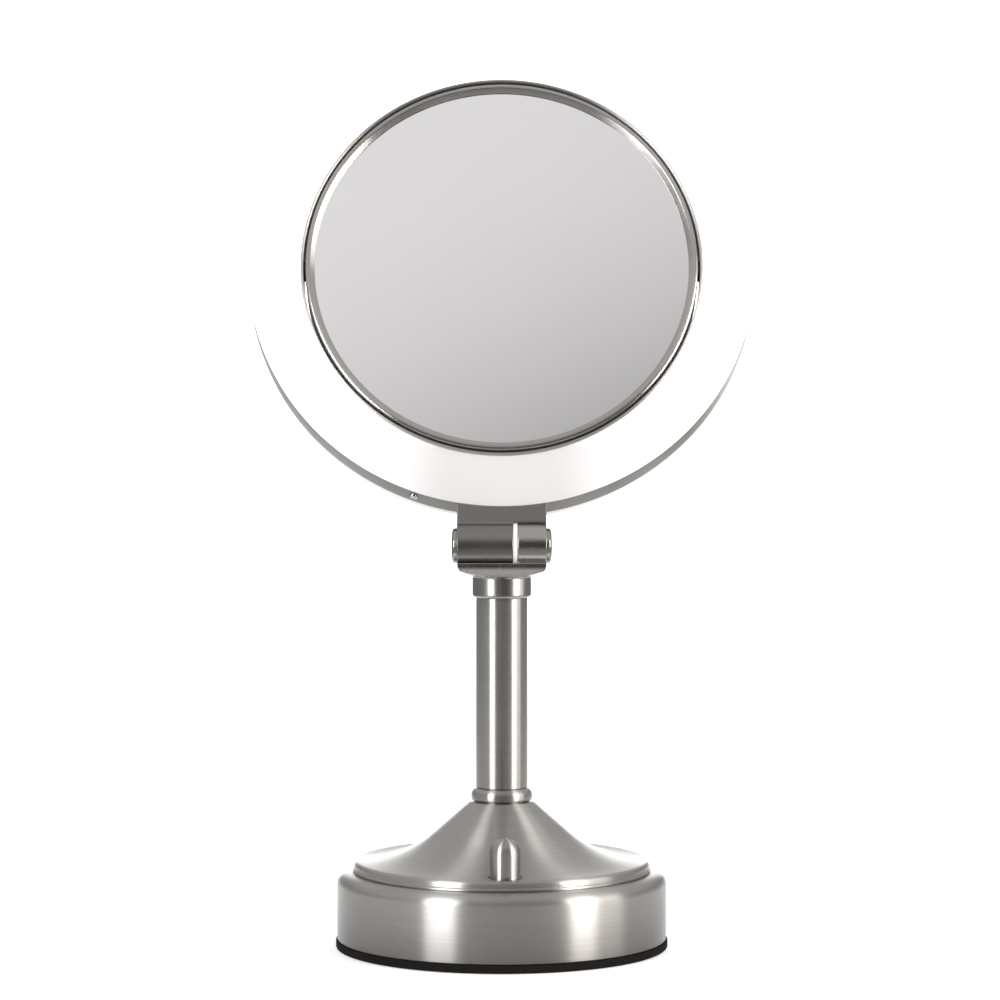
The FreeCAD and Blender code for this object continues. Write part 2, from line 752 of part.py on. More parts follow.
def tie_nut():
    top = "drum_top - sheet_wall - tie_washer_wall"
    hex_nut("tie_nut", "tie_nut_flats", "tie_radius + fit_gap", f"{top} - tie_nut_height", top, Placement())


# ---------------------------------------------------------------- yoke and hinge
def yoke():
    """A casting: collar on the column, cradle under the left knuckle, and the round right ear."""
    collar = lathe("yoke_collar", [
        (0, "column_top"),
        ("collar_radius - 1.2", "column_top", 1.2),
        ("collar_radius", "column_top + 1.2"),
        ("collar_radius", "collar_top"),
        (0, "collar_top"),
    ])
    lip = "hinge_height - lip_drop"
    low = "collar_top - 0.4"
    front_view = slab("cradle_front", "XZ_Plane", [
        ("-collar_radius", low),
        ("collar_radius", low),
        ("hinge_half - cradle_corner", "collar_top + 1.7", "cradle_round"),
        ("hinge_half", "collar_top + cradle_flank"),
        ("hinge_half", lip),
        ("-hinge_half", lip),
        ("-hinge_half", "collar_top + cradle_flank", "cradle_round"),
        ("cradle_corner - hinge_half", "collar_top + 1.7"),
    ], "collar_radius * 2")
    side_view = slab("cradle_side", "YZ_Plane", [
        ("-collar_radius", low),
        ("collar_radius", low),
        ("collar_radius", "collar_top + 0.4", "-cradle_sweep"),
        ("barrel_radius", "collar_top + cradle_flank"),
        ("barrel_radius", lip),
        ("-barrel_radius", lip),
        ("-barrel_radius", "collar_top + cradle_flank", "-cradle_sweep"),
        ("-collar_radius", "collar_top + 0.4"),
    ], "hinge_half * 2")
    bowl = lathe("cradle_bowl", [
        (0, low),
        ("collar_radius", low),
        ("collar_radius", "collar_top"),
        ("hinge_half + 1", "collar_top + 2.4"),
        ("hinge_half + 8", "collar_top + 5"),
        ("hinge_half + 8", lip),
        (0, lip),
    ])
    cradle = joined("Part::MultiCommon", "cradle", [front_view, side_view, bowl])
    ear_start = point("washer_right", 0, "hinge_height")
    ear = cylinder("ear", "barrel_radius", "hinge_half - washer_right", ear_start, RIGHT)
    casting = joined("Part::MultiFuse", "yoke_casting", [collar, cradle, ear])
    keep("yoke", cut("yoke", casting, joined("Part::MultiFuse", "yoke_hollows", yoke_hollows())))


def yoke_hollows():
    """The knuckle's pocket, the bolt hole, the tie tube's socket and the lead's way between them."""
    way = "(lead_radius + 0.4)"
    pocket_start = point("-hinge_half - 1", 0, "hinge_height")
    pocket_length = "hinge_half + washer_right + 1"
    ear_start = point("washer_right - 1", 0, "hinge_height")
    socket_start = point(0, 0, "column_top - 1")
    socket_length = "tie_top - column_top + 2"
    return [
        cylinder("pocket", "pocket_radius", pocket_length, pocket_start, RIGHT),
        cylinder("bolt_hole", "bolt_radius + fit_gap", "hinge_half", ear_start, RIGHT),
        cylinder("tie_socket", "tie_radius + fit_gap", socket_length, socket_start, UP),
        cylinder("lead_way_across", way, f"ear_lead + 2 * {way}", point(f"-{way}", 0, "lead_level"), RIGHT),
        cylinder("lead_way_up", way, 11, point("ear_lead", 0, "lead_level"), UP),
        cylinder("lead_way_in", way, "lead_level - tie_top + 0.4", point(0, 0, "tie_top"), UP),
    ]


def hinge_place():
    """Along the hinge axis: local +Z is +X from the centre plane, and local +X is down."""
    return Placement(point(0, 0, "hinge_height"), Rotation(UP, RIGHT))


def domed_head(seat):
    """Half section of a hinge head above its seat: a rounded rim, a ring groove and a shallow dome."""
    dome = "(pin_head_radius - groove_inset)"
    top = f"{seat} + pin_head_rise"
    return [
        ("pin_head_radius", seat),
        ("pin_head_radius", f"{seat} + 0.8", 9),
        ("pin_head_radius - groove_inset + 0.6", f"{top} - dome_rise"),
        ("pin_head_radius - groove_inset + 0.3", f"{top} - dome_rise - 0.3"),
        (dome, f"{top} - dome_rise", f"({dome} ^ 2 + dome_rise ^ 2) / (2 * dome_rise)"),
        (0, top),
    ]


def hinge_bolt():
    """A hollow bolt with a domed head; a lead enters from below through its shank."""
    body = lathe("hinge_bolt", [
        ("bolt_bore", "-bolt_end"),
        ("bolt_radius", "-bolt_end"),
        ("bolt_radius", "hinge_half"),
        *domed_head("hinge_half"),
        (0, "bolt_blind"),
        ("bolt_bore", "bolt_blind"),
    ])
    bore(body, "lead_entry", "bolt_bore", "bolt_radius + 1", point(0, 0, "ear_lead"), RIGHT)
    keep("hinge_bolt", body, hinge_place())


def hinge_cap():
    body = lathe("hinge_cap", [
        (0, "-cap_length"),
        ("cavity_radius - fit_gap", "-cap_length"),
        ("cavity_radius - fit_gap", 0),
        *domed_head("0"),
    ])
    end = Placement(point("-hinge_half", "-ring_reach", "hinge_ahead"), Rotation(UP, LEFT))
    keep("hinge_cap", body, ring_frame() * end)


def friction_washer():
    body = lathe("friction_washer", [
        ("bolt_radius + fit_gap", "washer_left"),
        ("barrel_radius - 0.3", "washer_left"),
        ("barrel_radius", "washer_left + 0.4"),
        ("barrel_radius", "washer_right - 0.4"),
        ("barrel_radius - 0.3", "washer_right"),
        ("bolt_radius + fit_gap", "washer_right"),
    ])
    keep("friction_washer", body, hinge_place())


def spring_washer():
    body = lathe("spring_washer", [
        ("bolt_radius + fit_gap", "-cavity_web - 0.9"),
        ("bolt_radius + fit_gap", "-cavity_web - 0.5"),
        ("spring_radius", "-cavity_web - 0.02"),
        ("spring_radius", "-cavity_web - 0.4"),
    ])
    keep("spring_washer", body, hinge_place())


def hinge_nut():
    low = "-bolt_end + 0.2"
    high = "-cavity_web - 0.92"
    hex_nut("hinge_nut", "hinge_nut_flats", "bolt_radius + fit_gap", low, high, hinge_place())


def lower_lead():
    """From the board's connector under the tie tube, up the column and into the hinge bolt."""
    runs = [
        point(0, "board_near + 0.5", "board_top + 1.8"),
        point(0, 0, "board_top + 1.8"),
        point(0, 0, "lead_level"),
        point("ear_lead", 0, "lead_level"),
        point("ear_lead", 0, "hinge_height"),
        point("(washer_left + washer_right) / 2", 0, "hinge_height"),
    ]
    bent_lead("lower_lead", runs, number("lead_bend"), number("lead_radius"), Placement())


def switch_lead():
    """From the switch body's back to the board's connector."""
    radius = "(lead_radius - 0.2)"
    across = 6
    back_of_switch = f"(sqrt(switch_body_radius ^ 2 - ({across} - {radius}) ^ 2) - switch_out)"
    start = point(f"switch_side + {across}", f"{back_of_switch} + 0.01", "board_top + 2")
    lead = cylinder("switch_lead", radius, f"board_near + 0.45 - {back_of_switch}", start, BACK)
    keep("switch_lead", lead)


# ---------------------------------------------------------------- head, drawn in the ring frame
def head_bracket():
    """A bar under the hoop with the left knuckle below and a hollow over the right ear."""
    foot = "-ring_reach"
    shoulder = "-sqrt(hoop_radius ^ 2 - hinge_half ^ 2)"
    bar = slab("bracket_bar", "XY_Plane", [
        ("-hinge_half", foot),
        ("hinge_half", foot),
        ("hinge_half", shoulder, "-hoop_radius"),
        ("-hinge_half", shoulder),
    ], "bar_front - bar_rear")
    bar.Placement.Base = point(0, 0, "(bar_front + bar_rear) / 2")
    across = "hinge_half + washer_left"
    start = point("-hinge_half", "-ring_reach", "hinge_ahead")
    knuckle = cylinder("knuckle", "barrel_radius", across, start, RIGHT)
    web = "hinge_half - cavity_web"
    over_ear = point("washer_left", "-ring_reach", "hinge_ahead")
    lead_way = point("-lead_left", "-ring_reach", "hinge_ahead")
    hollows = [
        cylinder("ear_hollow", "ear_gap_radius", "hinge_half", over_ear, RIGHT),
        cylinder("cavity", "cavity_radius", web, start, RIGHT),
        cylinder("bearing", "bolt_radius + running_gap", "hinge_half + 6", start, RIGHT),
        cylinder("lead_way_bracket", "lead_radius + 0.4", 20, lead_way, BACK),
    ]
    for side in (-1, 1):
        seat = bracket_screw_place(side)
        down = seat.Rotation.multVec(-UP)
        tap = cylinder(f"bracket_tap_{side + 1}", "bracket_screw_radius + fit_gap", 7, seat.Base, down)
        hollows.append(tap)
    solid = joined("Part::MultiFuse", "bracket_solid", [bar, knuckle])
    hollow = joined("Part::MultiFuse", "bracket_hollows", hollows)
    keep("head_bracket", cut("head_bracket", solid, hollow), ring_frame())


def bracket_screw_place(side):
    """A bracket screw's seat inside the hoop, in the ring frame; its head faces the ring's centre."""
    angle = math.radians(-90 + side * number("bracket_screw_angle"))
    outward = Vector(math.cos(angle), math.sin(angle), 0)
    seat = outward * number("hoop_radius - hoop_wall - 0.1")
    return Placement(seat + point(0, 0, "hinge_ahead"), Rotation(UP, -outward))


def bracket_screws():
    screws = [
        screw(f"bracket_screw_{side + 1}", 2.2, 1.4, "bracket_screw_radius", 4.9, bracket_screw_place(side))
        for side in (-1, 1)
    ]
    group("bracket_screws", screws, ring_frame())


def hoop_screw_place():
    """The hoop screw's seat on the lower left of the hoop; its head faces outward."""
    angle = math.radians(-90 - number("hoop_screw_angle"))
    outward = Vector(math.cos(angle), math.sin(angle), 0)
    seat = outward * number("hoop_radius + 0.05")
    return Placement(seat + point(0, 0, "hinge_ahead"), Rotation(UP, outward))


def hoop_screw():
    place = ring_frame() * hoop_screw_place()
    keep("hoop_screw", screw("hoop_screw", 1.75, 1.5, "hoop_screw_radius", 3.9, place))


def hoop_radial_hole(body, name, radius, place):
    """A hole from outside the hoop inwards along a screw's line."""
    outward = Vector(place.Base.x, place.Base.y, 0).normalize()
    bore(body, name, radius, 6, place.Base + outward * 2, -outward)


def outer_hoop():
    body = lathe("outer_hoop", [
        ("hoop_radius - hoop_wall", "hoop_rear"),
        ("hoop_radius - 0.25", "hoop_rear"),
        ("hoop_radius", "hoop_rear + 0.25"),
        ("hoop_radius", "hoop_front - 0.3"),
        ("hoop_radius - 0.3", "hoop_front"),
        ("hoop_radius - hoop_wall", "hoop_front"),
    ])
    hoop_radial_hole(body, "hoop_screw_hole", "hoop_screw_radius + fit_gap", hoop_screw_place())
    hoop_radial_hole(body, "bracket_hole_left", "bracket_screw_radius + fit_gap", bracket_screw_place(-1))
    hoop_radial_hole(body, "bracket_hole_right", "bracket_screw_radius + fit_gap", bracket_screw_place(1))
    start = point("-lead_left", "-hoop_radius - 1", "hinge_ahead")
    bore(body, "hoop_lead_hole", "lead_radius + 0.7", 6, start, BACK)
    keep("outer_hoop", body, ring_frame())


def inner_hoop():
    body = lathe("inner_hoop", [
        ("inner_radius", "inner_rear"),
        ("inner_radius + hoop_wall", "inner_rear"),
        ("inner_radius + hoop_wall", "diffuser_edge + 0.6"),
        ("inner_radius + hoop_wall - 0.2", "diffuser_edge + 0.8"),
        ("inner_radius", "diffuser_edge + 0.8"),
    ])
    start = point("-inner_radius - 3", 0, 0)
    bore(body, "bush_holes", "bush_sleeve + fit_gap", "inner_radius * 2 + 6", start, RIGHT)
    keep("inner_hoop", body, ring_frame())


def front_diffuser():
    """An opal ring whose front face is slightly crowned."""
    inside = "inner_radius + hoop_wall + 0.05"
    outside = "hoop_radius - hoop_wall - 0.05"
    body = lathe("front_diffuser", [
        (inside, "diffuser_edge - diffuser_wall"),
        (outside, "diffuser_edge - diffuser_wall"),
        (outside, "diffuser_edge", "diffuser_crown"),
        (inside, "diffuser_edge"),
    ])
    keep("front_diffuser", body, ring_frame())


def rear_shell():
    """An opal channel that closes the ring's back; its outer spigot stands inside the hoop."""
    inside = "(inner_radius + hoop_wall + 0.05)"
    outside = "(hoop_radius - 0.4)"
    spigot = "hoop_radius - hoop_wall - 0.1"
    floor = "shell_rear + shell_wall"
    top = "diffuser_edge - diffuser_wall - 0.6"
    body = lathe("rear_shell", [
        (outside, "hoop_rear - 0.02"),
        (spigot, "hoop_rear - 0.02"),
        (spigot, top),
        (f"{outside} - shell_wall", top),
        (f"{outside} - shell_wall", "shell_rear + shell_round", "shell_wall - shell_round"),
        (f"{outside} - shell_round", floor),
        (f"{inside} + shell_round", floor, "shell_wall - shell_round"),
        (f"{inside} + shell_wall", "shell_rear + shell_round"),
        (f"{inside} + shell_wall", "shell_lip"),
        (inside, "shell_lip"),
        (inside, "shell_rear + shell_round", "shell_round"),
        (f"{inside} + shell_round", "shell_rear"),
        (f"{outside} - shell_round", "shell_rear", "shell_round"),
        (outside, "shell_rear + shell_round"),
    ])
    hoop_radial_hole(body, "shell_screw_hole", "hoop_screw_radius + fit_gap", hoop_screw_place())
    doc.recompute()
    notch = block(
        "shell_notch",
        ("-notch_half", "-hoop_radius", "hoop_rear - 0.02"),
        ("notch_half", "1.2 - socket_near", "diffuser_edge"),
    )
    start = point("-lamp_circle", 0, 0)
    bushes = cylinder("bush_ways", "bush_radius + 0.25", "lamp_circle * 2", start, RIGHT)
    tools = joined("Part::MultiFuse", "shell_tools", [notch, inner_bush_way(bushes)])
    keep("rear_shell", cut("rear_shell", body, tools), ring_frame())


def inner_bush_way(through):
    """The bushes' way through the shell's inner wall only."""
    reach = lathe("inner_reach", [(0, -6), ("lamp_circle - 3", -6), ("lamp_circle - 3", 6), (0, 6)])
    return joined("Part::MultiCommon", "inner_bush_way", [through, reach])


def lamp_arc(name, tube_radius, gap):
    """A circular tube open at the bottom by a gap angle."""
    arc = doc.addObject("Part::Torus", name)
    bind(arc, "Radius1", "lamp_circle")
    bind(arc, "Radius2", tube_radius)
    bind(arc, "Angle3", f"360 - ({gap})")
    arc.Placement = Placement(point(0, 0, "lamp_height"), Rotation(UP, -90 + number(gap) / 2))
    return arc


def lamp_tube():
    """The lamp's glass, closed at both ends."""
    glass = lamp_arc("lamp_outside", "lamp_radius", "lamp_gap")
    inside = lamp_arc("lamp_inside", "lamp_radius - lamp_glass", "lamp_gap + 1.4")
    keep("lamp_tube", cut("lamp_tube", glass, inside), ring_frame())


def pin_spots():
    """The four lamp pins' places across the ring."""
    return [f"contact_pitch * {step}" for step in (-1.5, -0.5, 0.5, 1.5)]


def lamp_base():
    """The lamp's moulded base: a square block round both ends of the tube."""
    low = "lamp_height - lamp_block"
    high = "lamp_height + lamp_block"
    sector = lathe("lamp_base_block", [
        ("lamp_circle - lamp_block", low),
        ("lamp_circle + lamp_block - 0.1", low),
        ("lamp_circle + lamp_block - 0.1", high),
        ("lamp_circle - lamp_block", high),
    ], number("lamp_base_angle"))
    sector.Placement = Placement(Vector(), Rotation(UP, -90))
    tools = [lamp_arc("lamp_seat", "lamp_radius + 0.05", "lamp_gap - 0.05")]
    for index, across in enumerate(pin_spots()):
        start = point(across, "-lamp_circle - 7", "contact_height")
        tools.append(cylinder(f"base_pin_hole_{index}", "contact_radius + fit_gap", 5, start, BACK))
    hollow = joined("Part::MultiFuse", "lamp_base_tools", tools)
    keep("lamp_base", cut("lamp_base", sector, hollow), ring_frame())


def lamp_pins():
    pins = []
    for index, across in enumerate(pin_spots()):
        start = point(across, "-lamp_circle - 9", "contact_height")
        pins.append(cylinder(f"lamp_pin_{index}", "contact_radius", 6.8, start, BACK))
    group("lamp_pins", pins, ring_frame())


def lamp_socket():
    """The holder between the lamp's base and the hoop; the lead enters its left side."""
    low = ("-socket_half", "-socket_far", "hoop_rear + 0.1")
    high = ("socket_half", "-socket_near", "socket_front")
    housing = block("socket_block", low, high)
    holes = []
    for index, across in enumerate(pin_spots()):
        start = point(across, "0.5 - socket_far", "contact_height")
        holes.append(cylinder(f"socket_hole_{index}", "contact_radius + fit_gap", 6, start, BACK))
    hollow = joined("Part::MultiFuse", "socket_holes", holes)
    keep("lamp_socket", cut("lamp_socket", housing, hollow), ring_frame())


def lamp_clips():
    """Three spring clips on the shell's floor, each open towards the front."""
    clips = []
    for index, degrees in enumerate((30, 90, 150)):
        centre = point("lamp_circle", "-clip_half", "lamp_height")
        outer = cylinder(f"clip_outer_{index}", "lamp_radius + clip_wall", "clip_half * 2", centre, BACK)
        through = "clip_half * 2 + 2"
        inner = cylinder(f"clip_inner_{index}", "lamp_radius + 0.05", through, centre + FRONT, BACK)
        mouth = block(
            f"clip_mouth_{index}",
            ("lamp_circle - lamp_radius * 1.3", "-clip_half - 1", "lamp_height + 2.4"),
            ("lamp_circle + lamp_radius * 1.3", "clip_half + 1", "lamp_height + lamp_radius * 1.5"),
        )
        foot = block(
            f"clip_foot_{index}",
            ("lamp_circle - 2.5", "-clip_half", "shell_rear + shell_wall"),
            ("lamp_circle + 2.5", "clip_half", "lamp_height - lamp_radius - 0.4"),
        )
        spring = joined("Part::MultiFuse", f"clip_spring_{index}", [outer, foot])
        hollow = joined("Part::MultiFuse", f"clip_hollow_{index}", [inner, mouth])
        clip = cut(f"clip_{index}", spring, hollow)
        clip.Placement = Placement(Vector(), Rotation(UP, degrees))
        clips.append(clip)
    group("lamp_clips", clips, ring_frame())


def pivot_bush(label, side):
    """A flanged bush in the inner hoop; its flange faces the mirror frame."""
    body = lathe(label, [
        ("pivot_radius + 0.03", "frame_radius + 0.1"),
        ("bush_radius", "frame_radius + 0.1"),
        ("bush_radius", "inner_radius - 0.15"),
        ("bush_sleeve", "inner_radius - 0.15"),
        ("bush_sleeve", "inner_radius + hoop_wall + 1.2"),
        ("pivot_radius + 0.03", "inner_radius + hoop_wall + 1.2"),
    ])
    keep(label, body, ring_frame() * Placement(Vector(), Rotation(UP, side)))


def upper_lead():
    """From the hinge bolt through the left knuckle and the bracket into the lamp socket."""
    runs = [
        point("(washer_left + washer_right) / 2 - 0.02", "-ring_reach", "hinge_ahead"),
        point("-lead_left", "-ring_reach", "hinge_ahead"),
        point("-lead_left", "-lead_turn", "hinge_ahead"),
        point("-socket_half", "-lead_turn", "hinge_ahead"),
    ]
    bend = number("lead_left - socket_half - 0.01")
    bent_lead("upper_lead", runs, bend, number("lead_radius"), ring_frame())


# ---------------------------------------------------------------- mirror, drawn in the ring frame
def frame_half(label, facing):
    """One pressed ring of the mirror's frame; facing is 1 for the front and -1 for the back."""
    bend = "frame_round" if facing > 0 else "-frame_round"
    body = lathe(label, [
        ("frame_radius", f"{facing} * 0.01"),
        ("frame_radius", f"{facing} * (frame_line - 0.3)"),
        ("frame_radius - 0.4", f"{facing} * frame_line"),
        ("frame_radius", f"{facing} * (frame_line + 0.3)"),
        ("frame_radius", f"{facing} * (frame_crest - frame_round)", bend),
        ("frame_radius - frame_round", f"{facing} * frame_crest"),
        ("frame_radius - frame_round - 0.5", f"{facing} * frame_crest"),
        ("sight_radius", f"{facing} * (glass_face + 0.4)"),
        ("sight_radius", f"{facing} * (glass_face + 0.03)"),
        ("glass_radius + 0.15", f"{facing} * (glass_face + 0.03)"),
        ("glass_radius + 0.15", f"{facing} * 3"),
        ("frame_radius - frame_wall", f"{facing} * 2"),
        ("frame_radius - frame_wall", f"{facing} * 0.01"),
    ])
    start = point("-frame_radius - 2", 0, 0)
    bore(body, label + "_pin_ways", "pivot_radius + fit_gap", "frame_radius * 2 + 4", start, RIGHT)
    keep(label, body, ring_frame())


def glass_plain():
    body = lathe("glass_plain", [
        (0, "glass_face - glass_wall"),
        ("glass_radius", "glass_face - glass_wall"),
        ("glass_radius", "glass_face - 0.3"),
        ("glass_radius - 0.3", "glass_face"),
        (0, "glass_face"),
    ])
    keep("glass_plain", body, ring_frame())


def glass_magnifying():
    """A hollow glass: its middle lies deeper in the frame than its edge."""
    depth = "lens_curve - sqrt(lens_curve ^ 2 - glass_radius ^ 2)"
    body = lathe("glass_magnifying", [
        ("glass_radius", "-glass_face", "lens_curve"),
        (0, f"{depth} - glass_face"),
        (0, f"{depth} - glass_face + lens_wall", "-lens_curve"),
        ("glass_radius", "lens_wall - glass_face"),
    ])
    keep("glass_magnifying", body, ring_frame())


def mirror_core():
    """The spacer ring between the two glasses; it holds the pivot pins."""
    body = lathe("mirror_core", [
        ("core_radius", "core_rear"),
        ("glass_radius - 0.1", "lens_wall - glass_face + 0.1"),
        ("glass_radius - 0.1", "glass_face - glass_wall - 0.05"),
        ("core_radius", "glass_face - glass_wall - 0.05"),
    ])
    start = point("-frame_radius", 0, 0)
    bore(body, "core_pin_ways", "pivot_radius + fit_gap", "frame_radius * 2", start, RIGHT)
    keep("mirror_core", body, ring_frame())


def pivot_pin(label, side):
    body = lathe(label, [
        (0, "pin_inner"),
        ("pivot_radius", "pin_inner"),
        ("pivot_radius", "inner_radius + hoop_wall + 0.7"),
        ("pivot_radius - 0.3", "inner_radius + hoop_wall + 1"),
        (0, "inner_radius + hoop_wall + 1"),
    ])
    keep(label, body, ring_frame() * Placement(Vector(), Rotation(UP, side)))


# ---------------------------------------------------------------- build, check and write
def build_all():
    for make in (
        foot_pad, bottom_plate, iron_weight, base_drum, base_pillars, base_screws, base_flare, cord_gland,
        circuit_board, board_standoffs, board_screws, transformer, capacitors, choke, lead_connector,
        switch_body, switch_bushing, switch_nut, switch_shaft, switch_knob,
        column_bead, column_tube, tie_tube, tie_washer, tie_nut,
        yoke, hinge_bolt, hinge_cap, friction_washer, spring_washer, hinge_nut, lower_lead, switch_lead,
        head_bracket, bracket_screws, hoop_screw, outer_hoop, inner_hoop, front_diffuser, rear_shell,
        lamp_tube, lamp_base, lamp_pins, lamp_socket, lamp_clips, upper_lead,
        glass_plain, glass_magnifying, mirror_core,
    ):
        make()
    pivot_bush("pivot_bush_left", LEFT)
    pivot_bush("pivot_bush_right", RIGHT)
    frame_half("mirror_frame_front", 1)
    frame_half("mirror_frame_rear", -1)
    pivot_pin("pivot_pin_left", LEFT)
    pivot_pin("pivot_pin_right", RIGHT)


def check_all():
    doc.recompute()
    for thing in doc.Objects:
        if "Invalid" in thing.State or "Error" in thing.State:
            raise RuntimeError(f"{thing.Label} failed: {thing.State}")
    for label, thing in nodes.items():
        if thing.Shape.isNull() or not thing.Shape.isValid() or not thing.Shape.Solids:
            raise RuntimeError(label + " has no valid shape")


build_all()
check_all()
for label, thing in nodes.items():
    thing.Shape.exportStep(f"parts/{label}.step")
print(f"{len(nodes)} nodes written")
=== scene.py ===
"""Looks for the lighted vanity mirror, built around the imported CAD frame.

The stand's round pieces are turned about the column's axis. The head's and the mirror's are turned
about the ring's own axis: their local +Z points out of the ring's front and +Y up in its plane.
"""

import json
import math

import bmesh
import bpy
from mathutils import Matrix, Vector


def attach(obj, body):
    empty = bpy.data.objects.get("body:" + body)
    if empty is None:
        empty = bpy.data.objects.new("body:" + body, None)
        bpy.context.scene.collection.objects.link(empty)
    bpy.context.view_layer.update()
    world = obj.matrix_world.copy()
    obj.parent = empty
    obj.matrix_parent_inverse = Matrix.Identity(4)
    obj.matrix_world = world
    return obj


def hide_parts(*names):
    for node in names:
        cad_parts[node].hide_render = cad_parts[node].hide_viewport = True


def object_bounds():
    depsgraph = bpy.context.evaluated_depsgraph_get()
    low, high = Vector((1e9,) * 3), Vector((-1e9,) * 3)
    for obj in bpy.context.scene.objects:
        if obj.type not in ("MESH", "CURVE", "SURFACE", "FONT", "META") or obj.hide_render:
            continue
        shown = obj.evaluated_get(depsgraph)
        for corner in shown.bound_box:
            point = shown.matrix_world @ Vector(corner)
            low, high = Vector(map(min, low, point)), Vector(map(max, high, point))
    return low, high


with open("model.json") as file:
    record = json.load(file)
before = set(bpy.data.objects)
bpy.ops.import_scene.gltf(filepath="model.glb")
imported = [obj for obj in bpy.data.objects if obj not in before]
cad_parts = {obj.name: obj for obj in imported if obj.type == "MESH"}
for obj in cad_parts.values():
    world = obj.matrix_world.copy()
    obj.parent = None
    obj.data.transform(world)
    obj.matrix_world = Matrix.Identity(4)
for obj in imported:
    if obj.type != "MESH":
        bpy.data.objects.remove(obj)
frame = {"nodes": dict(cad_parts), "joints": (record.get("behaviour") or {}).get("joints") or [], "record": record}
cad_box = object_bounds()

MM = 0.001
TURNS = 288                            # steps round a piece of the stand
RING_TURNS = 512                       # steps round a piece of the ring
LEAN = math.radians(21.75)
JOINTS = {joint["name"]: joint for joint in frame["joints"]}
RING_CENTRE = Vector(JOINTS["mirror_flip"]["pos_m"])
HINGE = Vector(JOINTS["head_tilt"]["pos_m"])
KNOB_AXIS = Vector(JOINTS["switch_turn"]["pos_m"])
RING = Matrix.Translation(RING_CENTRE) @ Matrix.Rotation(math.pi / 2 - LEAN, 4, "X")
STAND = Matrix.Identity(4)


# ---------------------------------------------------------------- mesh making
def rounded(corners):
    """Points of an outline; a corner (across, along, radius) becomes an arc of that radius."""
    spots = [Vector(corner[:2]) for corner in corners]
    points = []
    for index, corner in enumerate(corners):
        radius = corner[2] if len(corner) > 2 else 0
        here = spots[index]
        before = (spots[index - 1] - here).normalized()
        after = (spots[(index + 1) % len(spots)] - here).normalized()
        half = before.angle(after) / 2 if radius else math.pi / 2
        if not radius or half > math.pi / 2 - 0.01:
            points.append(here)
            continue
        setback = radius / math.tan(half)
        centre = here + (before + after).normalized() * (radius / math.sin(half))
        first = here + before * setback - centre
        last = here + after * setback - centre
        sweep = first.angle_signed(last)
        steps = max(3, int(abs(sweep) / math.radians(9)))
        for step in range(steps + 1):
            turn = -sweep * step / steps
            points.append(centre + Matrix.Rotation(turn, 2) @ first)
    return points


def mesh_of(name, shape):
    """The mesh of a finished bmesh shape, which is freed."""
    mesh = bpy.data.meshes.new(name)
    shape.to_mesh(mesh)
    shape.free()
    return mesh


def object_from(name, mesh, place):
    """A piece in the scene, its local frame at the place."""
    piece = bpy.data.objects.new(name, mesh)
    bpy.context.scene.collection.objects.link(piece)
    piece.matrix_world = place
    return piece


def smooth(mesh, degrees=32):
    """Smooth shading that keeps every edge sharper than the angle."""
    for face in mesh.polygons:
        face.use_smooth = True
    mesh.set_sharp_from_angle(angle=math.radians(degrees))


def turned(name, corners, place=STAND, segments=TURNS):
    """A closed solid turned about local Z from an outline of (radius, height, rounding) in mm."""
    outline = [point * MM for point in rounded(corners)]
    shape = bmesh.new()
    rings = []
    for point in outline:
        if point.x < 1e-7:
            rings.append([shape.verts.new((0, 0, point.y))])
            continue
        ring = []
        for step in range(segments):
            angle = 2 * math.pi * step / segments
            ring.append(shape.verts.new((point.x * math.cos(angle), point.x * math.sin(angle), point.y)))
        rings.append(ring)
    for ring, following in zip(rings, rings[1:] + rings[:1]):
        if len(ring) == 1 and len(following) == 1:
            continue
        for step in range(segments):
            onward = (step + 1) % segments
            corners_here = [ring[step % len(ring)], ring[onward % len(ring)]]
            corners_next = [following[onward % len(following)], following[step % len(following)]]
            around = list(dict.fromkeys(corners_here + corners_next))
            shape.faces.new(around)
    bmesh.ops.recalc_face_normals(shape, faces=shape.faces)
    mesh = mesh_of(name, shape)
    smooth(mesh)
    return object_from(name, mesh, place)


def dress(piece, material, body, slot, *nodes):
    """Give a built piece its material and its body, and hide the CAD nodes it stands for; the slot is not used."""
    piece.data.materials.clear()
    piece.data.materials.append(material)
    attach(piece, body)
    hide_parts(*nodes)


